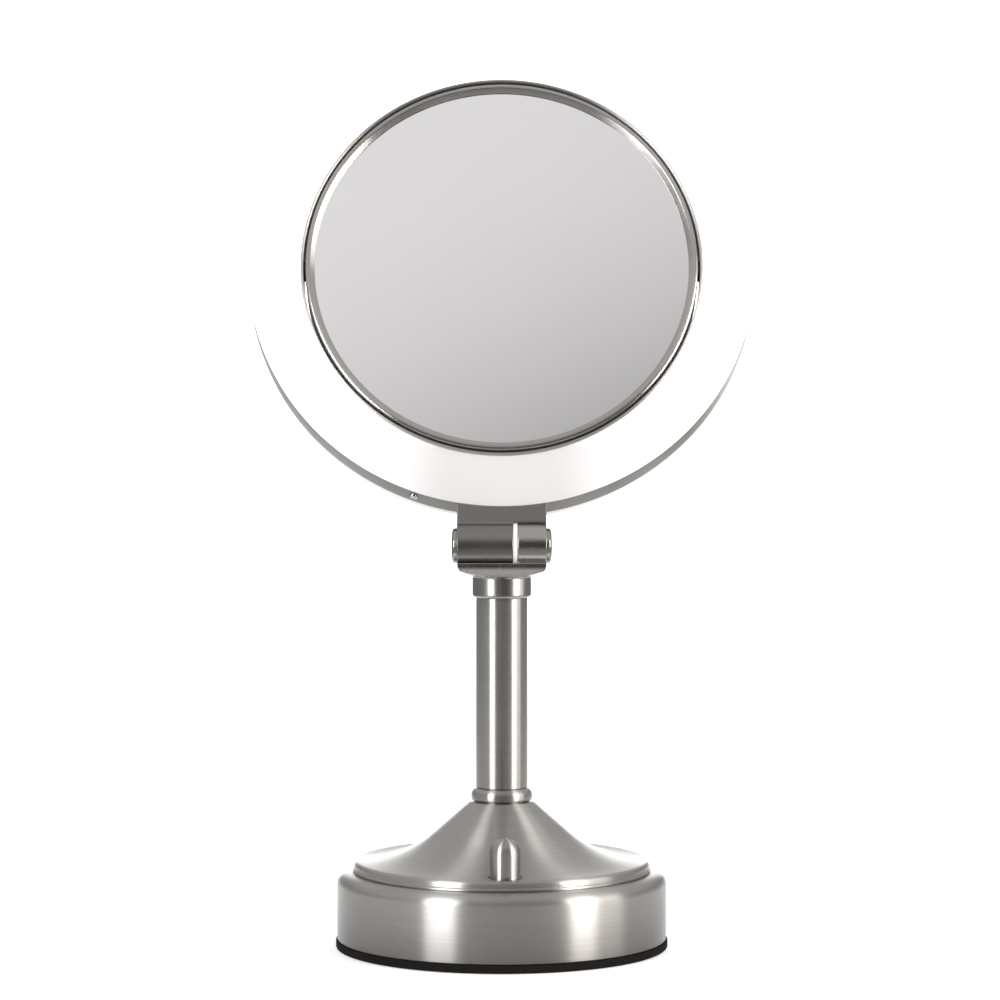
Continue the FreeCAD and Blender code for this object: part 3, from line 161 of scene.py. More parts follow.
# ---------------------------------------------------------------- materials
class Nodes:
    """A short way to write a material's node tree."""

    def __init__(self, name):
        self.material = bpy.data.materials.new(name)
        self.material.use_nodes = True
        self.tree = self.material.node_tree
        self.shader = self.tree.nodes["Principled BSDF"]

    @classmethod
    def of(cls, tree):
        """The same short way for a node tree that has no material."""
        nodes = cls.__new__(cls)
        nodes.tree = tree
        return nodes

    def add(self, kind, inputs=None, **settings):
        node = self.tree.nodes.new(kind)
        for key, value in settings.items():
            setattr(node, key, value)
        for key, value in (inputs or {}).items():
            self.feed(node.inputs[key], value)
        return node

    def feed(self, socket, value):
        if isinstance(value, bpy.types.NodeSocket):
            self.tree.links.new(value, socket)
        else:
            socket.default_value = value

    def math(self, operation, first, second=0.0):
        return self.add("ShaderNodeMath", {0: first, 1: second}, operation=operation).outputs[0]

    def noise(self, vector, scale, detail=2.0, rough=0.5):
        inputs = {"Vector": vector, "Scale": scale, "Detail": detail, "Roughness": rough}
        return self.add("ShaderNodeTexNoise", inputs).outputs["Fac"]

    def spread(self, value, low, high):
        """A 0 to 1 value as a range."""
        inputs = {"Value": value, "To Min": low, "To Max": high}
        return self.add("ShaderNodeMapRange", inputs).outputs["Result"]

    def band(self, value, from_low, from_high, to_low, to_high, ease="LINEAR"):
        """A value that goes from to_low to to_high as another goes from from_low to from_high."""
        inputs = {
            "Value": value,
            "From Min": from_low,
            "From Max": from_high,
            "To Min": to_low,
            "To Max": to_high,
        }
        return self.add("ShaderNodeMapRange", inputs, interpolation_type=ease).outputs["Result"]

    def mixed(self, factor, first, second):
        """A number between two numbers."""
        return self.add("ShaderNodeMix", {"Factor": factor, "A": first, "B": second}).outputs["Result"]

    def bump(self, value, strength, distance, normal=None):
        inputs = {"Height": value, "Strength": strength, "Distance": distance}
        if normal is not None:
            inputs["Normal"] = normal
        return self.add("ShaderNodeBump", inputs).outputs["Normal"]

    def place(self):
        return self.add("ShaderNodeTexCoord").outputs["Object"]

    def set(self, **inputs):
        for key, value in inputs.items():
            self.feed(self.shader.inputs[key.replace("_", " ")], value)
        return self.material


def colour(red, green, blue):
    return (red, green, blue, 1.0)


def tinted(nodes, value, dark, light):
    """A colour between two colours."""
    ramp = nodes.add("ShaderNodeMix", {"Factor": value}, data_type="RGBA")
    ramp.inputs["A"].default_value = dark
    ramp.inputs["B"].default_value = light
    return ramp.outputs["Result"]


def brush_lines(nodes, spot, lines_per_mm):
    """Fine lines that run round local Z, on a flat face as well as on a wall."""
    across, along, height = nodes.add("ShaderNodeSeparateXYZ", {0: spot}).outputs
    radius = nodes.math("SQRT", nodes.math("ADD", nodes.math("MULTIPLY", across, across),
                                           nodes.math("MULTIPLY", along, along)))
    nonzero = nodes.math("ADD", radius, 1e-5)
    turn_x = nodes.math("DIVIDE", across, nonzero)
    turn_y = nodes.math("DIVIDE", along, nonzero)
    level = nodes.math("MULTIPLY", radius, lines_per_mm / MM)
    spun = nodes.add("ShaderNodeCombineXYZ", {0: turn_x, 1: turn_y, 2: level}).outputs[0]
    rise = nodes.math("MULTIPLY", height, lines_per_mm / MM)
    inputs = {"Vector": spun, "W": rise, "Scale": 1.0, "Detail": 3.0, "Roughness": 0.65}
    return nodes.add("ShaderNodeTexNoise", inputs, noise_dimensions="4D").outputs["Fac"]


def round_tangent(nodes, spot):
    """The direction round local Z, as a world direction."""
    axis = nodes.add("ShaderNodeCombineXYZ", {2: 1.0}).outputs[0]
    around = nodes.add("ShaderNodeVectorMath", {0: axis, 1: spot}, operation="CROSS_PRODUCT").outputs[0]
    facing = nodes.add("ShaderNodeVectorMath", {0: around}, operation="NORMALIZE").outputs[0]
    return nodes.add("ShaderNodeVectorTransform", {0: facing}, vector_type="VECTOR",
                     convert_from="OBJECT", convert_to="WORLD").outputs[0]


def turned_nickel(name, roughness=0.33, lines_per_mm=3.2, strength=0.35,
                  foot_shade=1.0, shade=1.0, low_shade=1.0):
    """Satin nickel brushed round local Z; its base colour carries painted light and shade: shade makes the whole
    piece lighter or darker, foot_shade darkens it towards low Z, low_shade towards the ring's lower edge.
    """
    nodes = Nodes(name)
    spot = nodes.place()
    brushing = brush_lines(nodes, spot, lines_per_mm)
    clouds = nodes.noise(spot, 38.0, 4.0)
    smudges = nodes.noise(spot, 140.0, 5.0, 0.6)
    rough = nodes.math("ADD", nodes.spread(brushing, roughness - 0.05, roughness + 0.05),
                       nodes.band(clouds, 0.35, 0.7, -0.015, 0.03))
    rough = nodes.math("ADD", rough, nodes.band(smudges, 0.5, 0.8, 0.0, 0.03))
    tint = tinted(nodes, nodes.band(brushing, 0.25, 0.75, 0.0, 1.0),
                  colour(0.36, 0.352, 0.338), colour(0.45, 0.441, 0.426))
    _, along, height = nodes.add("ShaderNodeSeparateXYZ", {0: spot}).outputs
    # painted shade and light: the base colour is scaled by shade, darkened near the foot by foot_shade and towards
    # the ring's lowest part by low_shade
    painted_shade = nodes.band(height, 0.004, 0.028, foot_shade * shade, shade)
    painted_shade = nodes.math("MULTIPLY", painted_shade, nodes.band(along, -0.095, -0.03, low_shade, 1.0))
    tint = nodes.add("ShaderNodeVectorMath", {0: tint, 1: painted_shade}, operation="MULTIPLY").outputs[0]
    return nodes.set(
        Base_Color=tint,
        Metallic=1.0,
        Roughness=rough,
        Anisotropic=0.97,
        Anisotropic_Rotation=0.25,
        Tangent=round_tangent(nodes, spot),
        Normal=nodes.bump(brushing, strength, 0.004 * MM),
    )


def cast_nickel(name, roughness=0.25, shade=1.0):
    """Plated casting: a satin finish with very shallow waves and fine pits; shade scales its base colour, a
    painted shade where it is below 1.
    """
    nodes = Nodes(name)
    spot = nodes.place()
    waves = nodes.noise(spot, 55.0, 2.0)
    drawn_out = nodes.add("ShaderNodeMapping", {"Vector": spot, "Scale": (0.35, 3.0, 3.0)}).outputs[0]
    grain = nodes.noise(drawn_out, 1500.0, 3.0, 0.7)
    rough = nodes.math("ADD", nodes.spread(grain, roughness - 0.05, roughness + 0.06),
                       nodes.band(waves, 0.35, 0.7, -0.02, 0.03))
    # painted shade: both colours are scaled by shade
    tint = tinted(nodes, nodes.band(grain, 0.3, 0.7, 0.0, 1.0),
                  colour(0.37 * shade, 0.361 * shade, 0.345 * shade),
                  colour(0.43 * shade, 0.421 * shade, 0.405 * shade))
    normal = nodes.bump(waves, 0.12, 0.05 * MM)
    return nodes.set(Base_Color=tint, Metallic=1.0, Roughness=rough,
                     Normal=nodes.bump(grain, 0.12, 0.002 * MM, normal))


def polished_nickel(name):
    """Bright nickel with fine hairlines and a few smudges."""
    nodes = Nodes(name)
    spot = nodes.place()
    smudges = nodes.noise(spot, 260.0, 5.0, 0.6)
    hairlines = nodes.noise(spot, 2600.0, 2.0)
    rough = nodes.math("ADD", nodes.band(smudges, 0.35, 0.75, 0.09, 0.2),
                       nodes.spread(hairlines, -0.01, 0.02))
    tint = tinted(nodes, smudges, colour(0.66, 0.65, 0.63), colour(0.74, 0.73, 0.715))
    return nodes.set(Base_Color=tint, Metallic=1.0, Roughness=rough,
                     Normal=nodes.bump(hairlines, 0.08, 0.003 * MM))


def plated_steel(name):
    """Zinc plated steel with cloudy patches."""
    nodes = Nodes(name)
    spot = nodes.place()
    patches = nodes.noise(spot, 300.0, 4.0)
    tint = tinted(nodes, patches, colour(0.48, 0.48, 0.47), colour(0.66, 0.66, 0.65))
    return nodes.set(Base_Color=tint, Metallic=1.0, Roughness=nodes.band(patches, 0.3, 0.7, 0.24, 0.42),
                     Normal=nodes.bump(patches, 0.15, 0.02 * MM))


def silvered_glass(name):
    """The mirror: a very smooth silver with the faintest dust."""
    nodes = Nodes(name)
    spot = nodes.place()
    dust = nodes.noise(spot, 900.0, 3.0, 0.7)
    film = nodes.noise(spot, 24.0, 3.0)
    rough = nodes.math("ADD", nodes.band(dust, 0.62, 0.8, 0.012, 0.05), nodes.spread(film, 0.0, 0.012))
    tint = tinted(nodes, film, colour(0.90, 0.895, 0.895), colour(0.93, 0.925, 0.925))
    return nodes.set(Base_Color=tint, Metallic=1.0, Roughness=rough, Coat_Weight=0.3, Coat_Roughness=0.01)


def opal_plastic(name, glow, pale, rough=0.32, socket_shade=1.0):
    """Opal plastic that carries the lamp's light; socket_shade dims it over the lamp's dark ends."""
    nodes = Nodes(name)
    spot = nodes.place()
    mottle = nodes.noise(spot, 16.0, 2.0)
    texture = nodes.noise(spot, 1700.0, 3.0)
    tint = tinted(nodes, mottle, colour(pale - 0.02, pale - 0.023, pale - 0.023),
                  colour(pale + 0.02, pale + 0.018, pale + 0.016))
    across, along, _ = nodes.add("ShaderNodeSeparateXYZ", {0: spot}).outputs
    below = nodes.band(along, -0.08, -0.06, 1.0, 0.0)
    middle = nodes.band(nodes.math("ABSOLUTE", across), 0.018, 0.085, 1.0, 0.0, "SMOOTHSTEP")
    over_socket = nodes.math("MULTIPLY", below, middle)
    lamp = nodes.mixed(over_socket, 1.0, socket_shade)
    lit = nodes.math("MULTIPLY", lamp, glow)
    strength = nodes.math("MULTIPLY", nodes.spread(mottle, 0.96, 1.03), lit)
    return nodes.set(
        Base_Color=tint,
        Roughness=nodes.spread(texture, rough - 0.05, rough + 0.07),
        Emission_Color=tinted(nodes, over_socket, colour(1.0, 0.992, 0.985), colour(1.0, 0.955, 0.975)),
        Emission_Strength=strength,
        Subsurface_Weight=0.2,
        Subsurface_Radius=(0.004, 0.004, 0.004),
        Normal=nodes.bump(texture, 0.06, 0.01 * MM),
    )


def moulded(name, dark, light, rough, grain=1200.0, gloss=0.5, metal=0.0):
    """A moulded or cast surface with a fine grain and faint mottling."""
    nodes = Nodes(name)
    spot = nodes.place()
    mottle = nodes.noise(spot, 70.0, 3.0)
    skin = nodes.noise(spot, grain, 3.0, 0.6)
    tint = tinted(nodes, mottle, dark, light)
    return nodes.set(
        Base_Color=tint,
        Metallic=metal,
        Roughness=nodes.spread(skin, rough - 0.08, rough + 0.1),
        Specular_IOR_Level=gloss,
        Normal=nodes.bump(skin, 0.25, 0.02 * MM),
    )


def lamp_coating(name):
    """The lit lamp's white powder under its glass."""
    nodes = Nodes(name)
    powder = nodes.noise(nodes.place(), 1500.0, 2.0)
    tint = tinted(nodes, powder, colour(0.93, 0.93, 0.92), colour(0.98, 0.98, 0.97))
    return nodes.set(Base_Color=tint, Roughness=nodes.spread(powder, 0.2, 0.3),
                     Emission_Color=colour(1.0, 0.99, 0.97), Emission_Strength=1.4)


MATERIALS = {
    "turned": turned_nickel("turned_nickel"),
    # painted shade: the drum's base colour is darker towards its foot
    "drum": turned_nickel("drum_nickel", foot_shade=0.45),
    # painted light: the frame is a lighter copy of the same nickel
    "frame": turned_nickel("frame_nickel", 0.22, 5.0, 0.15, shade=1.1),
    # painted light and shade: the hoop is a lighter copy of the nickel on its flanks and darker towards its lowest
    # part
    "hoop": turned_nickel("hoop_nickel", shade=1.55, low_shade=0.34),
    # painted light: the inner band is a lighter copy of the nickel, so its front edge and the gap beside it read
    # light
    "band": turned_nickel("band_nickel", 0.40, shade=1.6),
    # painted shade: the hinge heads are a darker copy of the nickel
    "cap": turned_nickel("cap_nickel", 0.24, 5.0, 0.15, shade=0.9),
    "cast": cast_nickel("cast_nickel"),
    # painted shade: the bracket is a darker copy of the cast nickel, with a rougher finish
    "bracket": cast_nickel("bracket_nickel", 0.31, 0.58),
    "polished": polished_nickel("polished_nickel"),
    "steel": plated_steel("plated_steel"),
    "mirror": silvered_glass("silvered_glass"),
    "diffuser": opal_plastic("opal_front", 1.05, pale=0.55, socket_shade=0.145),
    "shell": opal_plastic("opal_shell", 0.10, pale=0.78),
    "rubber": moulded("black_rubber", colour(0.006, 0.005, 0.0045), colour(0.012, 0.0105, 0.0095), 0.8,
                      grain=900.0, gloss=0.05),
    "white": moulded("white_nylon", colour(0.80, 0.79, 0.77), colour(0.88, 0.87, 0.85), 0.42),
    "dark": moulded("dark_nylon", colour(0.02, 0.018, 0.017), colour(0.045, 0.04, 0.038), 0.5),
    "bush": moulded("grey_nylon", colour(0.11, 0.10, 0.095), colour(0.17, 0.16, 0.15), 0.5),
    "board": moulded("board_green", colour(0.01, 0.09, 0.03), colour(0.02, 0.15, 0.06), 0.35,
                     grain=400.0),
    "blue": moulded("sleeve_blue", colour(0.02, 0.06, 0.25), colour(0.04, 0.10, 0.34), 0.25),
    "iron": moulded("cast_iron", colour(0.05, 0.05, 0.05), colour(0.11, 0.11, 0.11), 0.7, grain=500.0),
    "brass": moulded("brass", colour(0.45, 0.30, 0.10), colour(0.60, 0.42, 0.17), 0.3, metal=1.0),
    "lamp": lamp_coating("lamp_coating"),
}
# the material that a carried CAD node takes for its slot
SLOT_LOOK = {
    "satin_nickel": "cast",
    "bright_nickel": "polished",
    "black_rubber": "rubber",
    "plated_steel": "steel",
    "cast_iron": "iron",
    "board_green": "board",
    "component_dark": "dark",
    "component_blue": "blue",
    "white_nylon": "white",
    "dark_nylon": "dark",
    "brass": "brass",
    "opal": "shell",
    "lamp_glass": "lamp",
    "mirror_glass": "mirror",
    "lead_jacket": "white",
}


def dress_cad_nodes():
    """Every carried CAD node takes its slot's material and smooth shading."""
    for part in frame["record"]["subparts"]:
        node = frame["nodes"][part["node"]]
        node.data.materials.clear()
        node.data.materials.append(MATERIALS[SLOT_LOOK[part["material_slot"]]])
        smooth(node.data, 30)


dress_cad_nodes()


# ---------------------------------------------------------------- round pieces of the stand
SHEET = 1.2                            # wall of the drum, the trumpet and the column
TIE_HOLE = 5.1                         # radius of the hole for the threaded tie tube
CORD_HEIGHT = 20                       # of the cord inlet above the table
KNOB_NUT = 5.2                         # radius of the knob's hollow over the switch nut
SHAFT_WAY = 3.02                       # radius of the knob's hole for the switch shaft


def reach(node, place=STAND):
    """A round node's largest radius and its lowest and highest level in millimetres."""
    inverse = place.inverted()
    spots = [inverse @ vertex.co for vertex in frame["nodes"][node].data.vertices]
    radius = max(spot.xy.length for spot in spots)
    low = min(spot.z for spot in spots)
    high = max(spot.z for spot in spots)
    return radius / MM, low / MM, high / MM


def cut_away(piece, tool_mesh, place):
    """Cut a closed mesh, placed in the piece's own frame, out of the piece."""
    tool = object_from("tool", tool_mesh, piece.matrix_world @ place)
    hole = piece.modifiers.new("hole", "BOOLEAN")
    hole.operation = "DIFFERENCE"
    hole.object = tool
    bake(piece)
    bpy.data.objects.remove(tool)
    smooth(piece.data)


def bake(piece):
    """Turn a piece's modifiers into its mesh."""
    bpy.context.view_layer.update()
    shown = piece.evaluated_get(bpy.context.evaluated_depsgraph_get())
    mesh = bpy.data.meshes.new_from_object(shown)
    piece.modifiers.clear()
    piece.data = mesh


def bored(piece, radius, start, towards, length):
    """Cut a round hole in a piece, from start along a direction, all in its own frame and in mm."""
    along = Vector(towards)
    shape = bmesh.new()
    bmesh.ops.create_cone(shape, cap_ends=True, segments=96, radius1=radius * MM, radius2=radius * MM,
                          depth=length * MM)
    middle = Matrix.Translation((Vector(start) + along * length / 2) * MM)
    cut_away(piece, mesh_of("tool", shape), middle @ along.to_track_quat("Z", "Y").to_matrix().to_4x4())


def base_drum():
    """The drawn cup: a rolled shoulder above, a softened hem below, holes for the switch and the cord."""
    radius, low, high = reach("base_drum")
    drum = turned("drum", [
        (radius, low, 0.5),
        (radius, high, 5.0),
        (TIE_HOLE, high),
        (TIE_HOLE, high - SHEET),
        (radius - SHEET, high - SHEET, 3.8),
        (radius - SHEET, low, 0.4),
    ])
    switch_hole = 4.75
    bored(drum, switch_hole, (KNOB_AXIS.x / MM, KNOB_AXIS.y / MM, high - 2.5), (0, 0, 1), 4)
    cord_hole = 5.0
    bored(drum, cord_hole, (0, radius - 4, CORD_HEIGHT), (0, 1, 0), 6)
    dress(drum, MATERIALS["drum"], "stand", "satin_nickel", "base_drum")


def base_flare():
    """The trumpet: a rolled hem, a short rim, a hollow sweep up to the cone and a flat top."""
    radius, low, high = reach("base_flare")
    rim = radius - 0.6
    land = 35.4
    neck = 12.9
    slope = math.radians(40.5)
    sweep = 46.0
    shoulder = rim - 2.0
    outside = [
        (rim, low, 0.3),
        (radius, low + 0.25, 0.3),
        (radius, low + 1.05, 0.35),
        (rim, low + 1.5, 0.25),
        (rim, land, 1.9),
    ]
    inside = []
    steps = 14
    for step in range(1, steps + 1):
        turn = slope * step / steps
        outside.append((shoulder - sweep * math.sin(turn), land + sweep * (1 - math.cos(turn))))
        inner = sweep + SHEET
        inside.append((shoulder - inner * math.sin(turn), land + sweep - inner * math.cos(turn)))
    top = [
        (neck, high, 0.8),
        (TIE_HOLE, high),
        (TIE_HOLE, high - SHEET),
        (neck - 0.6, high - SHEET),
    ]
    hem = [
        (shoulder, land - SHEET, 0.8),
        (rim - SHEET, land - SHEET - 1.2, 0.8),
        (rim - SHEET, low),
    ]
    flare = turned("trumpet", [*outside, *top, *reversed(inside), *hem])
    knob_hole = 6.6
    bored(flare, knob_hole, (KNOB_AXIS.x / MM, KNOB_AXIS.y / MM, low + 1), (0, 0, 1), 8)
    dress(flare, MATERIALS["turned"], "stand", "satin_nickel", "base_flare")


def column_bead():
    """A bead, rounder above than below, standing over a fine groove on the trumpet."""
    radius, low, high = reach("column_bead")
    groove = radius - 1.7
    bead = turned("bead", [
        (TIE_HOLE, low),
        (groove, low, 0.1),
        (groove, low + 0.3, 0.1),
        (radius, low + 0.3, 1.4),
        (radius, high, 3.2),
        (TIE_HOLE, high),
    ])
    dress(bead, MATERIALS["turned"], "stand", "satin_nickel", "column_bead")


def column_tube():
    """The plain tube, its two ends barely softened."""
    radius, low, high = reach("column_tube")
    tube = turned("column", [
        (radius - SHEET, low),
        (radius, low, 0.2),
        (radius, high, 0.2),
        (radius - SHEET, high),
    ])
    dress(tube, MATERIALS["turned"], "stand", "satin_nickel", "column_tube")


def switch_knob():
    """A bullet with a round nose and a softened lower edge, hollow over the nut."""
    knob_place = Matrix.Translation(Vector((KNOB_AXIS.x, KNOB_AXIS.y, 0)))
    radius, low, high = reach("switch_knob", knob_place)
    nut_top = low + 3.4
    shaft_top = high - 5.2
    knob = turned("knob", [
        (KNOB_NUT, low),
        (radius, low, 0.35),
        (radius, high, radius * 0.97),
        (0, high),
        (0, shaft_top),
        (SHAFT_WAY, shaft_top),
        (SHAFT_WAY, nut_top),
        (KNOB_NUT, nut_top),
    ], knob_place)
    dress(knob, MATERIALS["turned"], "switch", "satin_nickel", "switch_knob")


def cord_gland():
    """The rubber grommet, its rounded flange standing on the drum's back wall."""
    place = Matrix.Translation((0, 0, CORD_HEIGHT * MM)) @ Matrix.Rotation(-math.pi / 2, 4, "X")
    radius, low, high = reach("cord_gland", place)
    bore = 3.2
    neck = 4.98
    inner_flange = 6.8
    wall_inside = 65.25
    wall_outside = 66.85
    gland = turned("grommet", [
        (bore, low, 0.4),
        (inner_flange - 0.6, low, 0.3),
        (inner_flange, low + 0.6, 0.3),
        (inner_flange, wall_inside),
        (neck, wall_inside),
        (neck, wall_outside),
        (radius, wall_outside, 0.3),
        (radius, high - 0.9, 1.0),
        (5.4, high, 0.8),
        (bore, high, 0.6),
    ], place, 96)
    dress(gland, MATERIALS["rubber"], "stand", "black_rubber", "cord_gland")


base_drum()
base_flare()
column_bead()
column_tube()
switch_knob()
cord_gland()


# ---------------------------------------------------------------- hinge
HINGE_RIGHT = Matrix.Translation(HINGE) @ Matrix.Rotation(math.pi / 2, 4, "Y")
HINGE_LEFT = Matrix.Translation(HINGE) @ Matrix.Rotation(-math.pi / 2, 4, "Y")
BOLT = 3.6                             # radius of the hinge bolt
WIRE_WAY = 1.9                         # radius of the lead's way through it


def casting(node, name, place):
    """A casting's own shape with its edges rounded off, in its local frame."""
    mesh = frame["nodes"][node].data.copy()
    mesh.transform(place.inverted())
    piece = object_from(name, mesh, place)
    grain = piece.modifiers.new("grain", "REMESH")
    grain.mode = "VOXEL"
    grain.voxel_size = 0.22 * MM
    tumbled = piece.modifiers.new("tumbled", "SMOOTH")
    tumbled.factor = 0.5
    tumbled.iterations = 5
    bake(piece)
    return piece


def yoke():
    """The casting on the column; a faint mould line runs up the middle of its front and its back."""
    piece = casting("yoke", "cast_yoke", STAND)
    half_width = 1.4 * MM
    rise = 0.09 * MM
    for vertex in piece.data.vertices:
        near_line = 1 - abs(vertex.co.x) / half_width
        if near_line > 0 and abs(vertex.co.y) > 7 * MM:
            vertex.co.y += math.copysign(rise * near_line ** 2, vertex.co.y)
    smooth(piece.data, 60)
    dress(piece, MATERIALS["cast"], "stand", "satin_nickel", "yoke")


def head_bracket():
    """The knuckle and plate that carry the head."""
    piece = casting("head_bracket", "cast_bracket", RING)
    smooth(piece.data, 60)
    dress(piece, MATERIALS["bracket"], "head", "satin_nickel", "head_bracket")


def domed_head(rim, seat, top):
    """Half section of a hinge head from its seat to its middle: a round rim, a ring groove, a dome."""
    dome = rim - 2.6
    return [
        (rim, seat),
        (rim, top - 0.75, 0.8),
        (rim - 1.7, top - 0.15, 0.3),
        (rim - 2.05, top - 0.75, 0.2),
        (dome, top - 0.2, 0.3),
        (dome * 0.6, top - 0.08),
        (dome * 0.3, top - 0.02),
        (0, top),
    ]


def hinge_bolt():
    """The hollow bolt; its domed head stands against the yoke's ear."""
    rim, low, high = reach("hinge_bolt", HINGE_RIGHT)
    seat = 18.14
    way_end = 14.4
    side_way = 12.3
    bolt = turned("bolt", [
        (WIRE_WAY, low),
        (BOLT, low),
        (BOLT, seat),
        *domed_head(rim, seat, high),
        (0, way_end),
        (WIRE_WAY, way_end),
    ], HINGE_RIGHT, 96)
    bored(bolt, WIRE_WAY, (0, 0, side_way), (1, 0, 0), BOLT + 1)
    dress(bolt, MATERIALS["cap"], "stand", "bright_nickel", "hinge_bolt")


def hinge_cap():
    """The plug that closes the left knuckle, with the same domed head."""
    rim, low, high = reach("hinge_cap", HINGE_LEFT)
    plug = 6.18
    seat = low + 3.14
    cap = turned("cap", [
        (0, low),
        (plug, low, 0.3),
        (plug, seat),
        *domed_head(rim, seat, high),
    ], HINGE_LEFT, 96)
    dress(cap, MATERIALS["cap"], "head", "bright_nickel", "hinge_cap")


def friction_washer():
    """The white washer between the knuckle and the yoke's ear, its rim rounded."""
    radius, low, high = reach("friction_washer", HINGE_RIGHT)
    bore = BOLT + 0.02
    washer = turned("washer", [
        (bore, low, 0.1),
        (radius, low, 0.55),
        (radius, high, 0.55),
        (bore, high, 0.1),
    ], HINGE_RIGHT, 128)
    dress(washer, MATERIALS["white"], "stand", "white_nylon", "friction_washer")


def hoop_screw():
    """A small cross head screw in the hoop; it stands at an angle left of the ring's lowest point."""
    turn = math.radians(-90 - 19.9)
    outward = Vector((math.cos(turn), math.sin(turn), 0))
    hoop = reach("outer_hoop", RING)[0]
    seat = (outward * (hoop + 0.05) + Vector((0, 0, 3.25))) * MM
    place = RING @ Matrix.Translation(seat) @ outward.to_track_quat("Z", "Y").to_matrix().to_4x4()
    radius, low, high = reach("hoop_screw", place)
    shank = 1.2
    screw = turned("cross_screw", [
        (0, low),
        (shank - 0.3, low),
        (shank, low + 0.3),
        (shank, 0),
        (radius, 0),
        (radius, high, radius * 0.7),
        (0, high),
    ], place, 96)
    slot_depth = 1.4
    for width, length in ((2.2, 0.5), (0.5, 2.2)):
        size = Matrix.Diagonal((width * MM, length * MM, slot_depth * MM, 1))
        shape = bmesh.new()
        bmesh.ops.create_cube(shape, size=1.0, matrix=size)
        cut_away(screw, mesh_of("slot", shape), Matrix.Translation((0, 0, high * MM)))
    dress(screw, MATERIALS["polished"], "head", "bright_nickel", "hoop_screw")


yoke()
head_bracket()
hinge_bolt()
hinge_cap()
friction_washer()
hoop_screw()


# ---------------------------------------------------------------- round pieces of the head and the mirror
HOOP_WALL = 0.8                        # of the outer hoop
BAND_BORE = 81.9                       # inside radius of the inner band, which the bushes seat on
OPAL_WALL = 1.6                        # of the front diffuser at its edges, and of the rear shell
FACE_LIP = 0.55                        # the diffuser's thin outer lip, over the hoop's front edge
FACE_CROWN = 53.0                      # radius of the diffuser's crowned face
SLEEVE = 2.9                           # radius of the pivot bushes' sleeves
PIVOT_WAY = 2.03                       # radius of their holes for the pins
FRAME_WALL = 0.9
GLASS_SEAT = 6.93                      # height at which both frames hold their glass


def side_holes(piece, radius, start, length):
    """A hole through the left and the right of a ring, on the mirror's axis."""
    for side in (-1, 1):
        bored(piece, radius, (side * start, 0, 0), (side, 0, 0), length)


def outer_hoop():
    """The rolled strip round the lamp housing, its two edges softened."""
    radius, low, _ = reach("outer_hoop", RING)
    high = reach("front_diffuser", RING)[1] + OPAL_WALL - FACE_LIP - 0.02
    hoop = turned("outer_band", [
        (radius - HOOP_WALL, low, 0.15),
        (radius, low, 0.3),
        (radius, high, 0.35),
        (radius - HOOP_WALL, high, 0.2),
    ], RING, RING_TURNS)
    dress(hoop, MATERIALS["hoop"], "head", "satin_nickel", "outer_hoop")


def inner_hoop():
    """The strip between the diffuser and the mirror, its front edge rounded."""
    radius, low, high = reach("inner_hoop", RING)
    hoop = turned("inner_band", [
        (BAND_BORE, low, 0.15),
        (radius, low, 0.15),
        (radius, high, 0.3),
        (BAND_BORE, high, 0.4),
    ], RING, RING_TURNS)
    side_holes(hoop, SLEEVE + 0.02, 80, 6)
    dress(hoop, MATERIALS["band"], "head", "satin_nickel", "inner_hoop")


def crowned(inside, outside, edge, crown, steps=12):
    """Points across a shallow crown between two radii, from outside to inside."""
    middle = (inside + outside) / 2
    half = (outside - inside) / 2
    base = math.sqrt(crown * crown - half * half)
    points = []
    for step in range(1, steps):
        across = outside - (outside - inside) * step / steps
        points.append((across, edge + math.sqrt(crown * crown - (across - middle) ** 2) - base))
    return points


def front_diffuser():
    """The opal front ring: a shallow crown between two softened edges, the outer one a thin lip."""
    outside, low, _ = reach("front_diffuser", RING)
    inside = reach("inner_hoop", RING)[0] + 0.05
    rim = reach("outer_hoop", RING)[0] - 0.1
    edge = low + OPAL_WALL
    face = turned("opal_front", [
        (inside, low),
        (outside, low),
        (outside, edge - FACE_LIP),
        (rim, edge - FACE_LIP),
        (rim, edge - 0.1, 0.25),
        *crowned(inside, rim, edge, FACE_CROWN),
        (inside, edge - 0.1, 0.25),
    ], RING, RING_TURNS)
    dress(face, MATERIALS["diffuser"], "head", "opal", "front_diffuser")


def rear_shell():
    """The opal channel behind the hoop, rounded at the back, with its inner lip stepped down."""
    outside, low, high = reach("rear_shell", RING)
    inside = reach("inner_hoop", RING)[0] + 0.05
    step = reach("outer_hoop", RING)[1] - 0.02
    spigot = outside - 0.5
    inner_lip = 1.5
    shell = turned("opal_shell", [
        (outside, step, 0.2),
        (spigot, step),
        (spigot, high),
        (outside - OPAL_WALL, high),
        (outside - OPAL_WALL, low + OPAL_WALL, 1.0),
        (inside + OPAL_WALL, low + OPAL_WALL, 1.0),
        (inside + OPAL_WALL, inner_lip),
        (inside, inner_lip),
        (inside, low, 3.0),
        (outside, low, 3.2),
    ], RING, RING_TURNS)
    side_holes(shell, 4.4, 80, 9)
    dress(shell, MATERIALS["shell"], "head", "opal", "rear_shell")


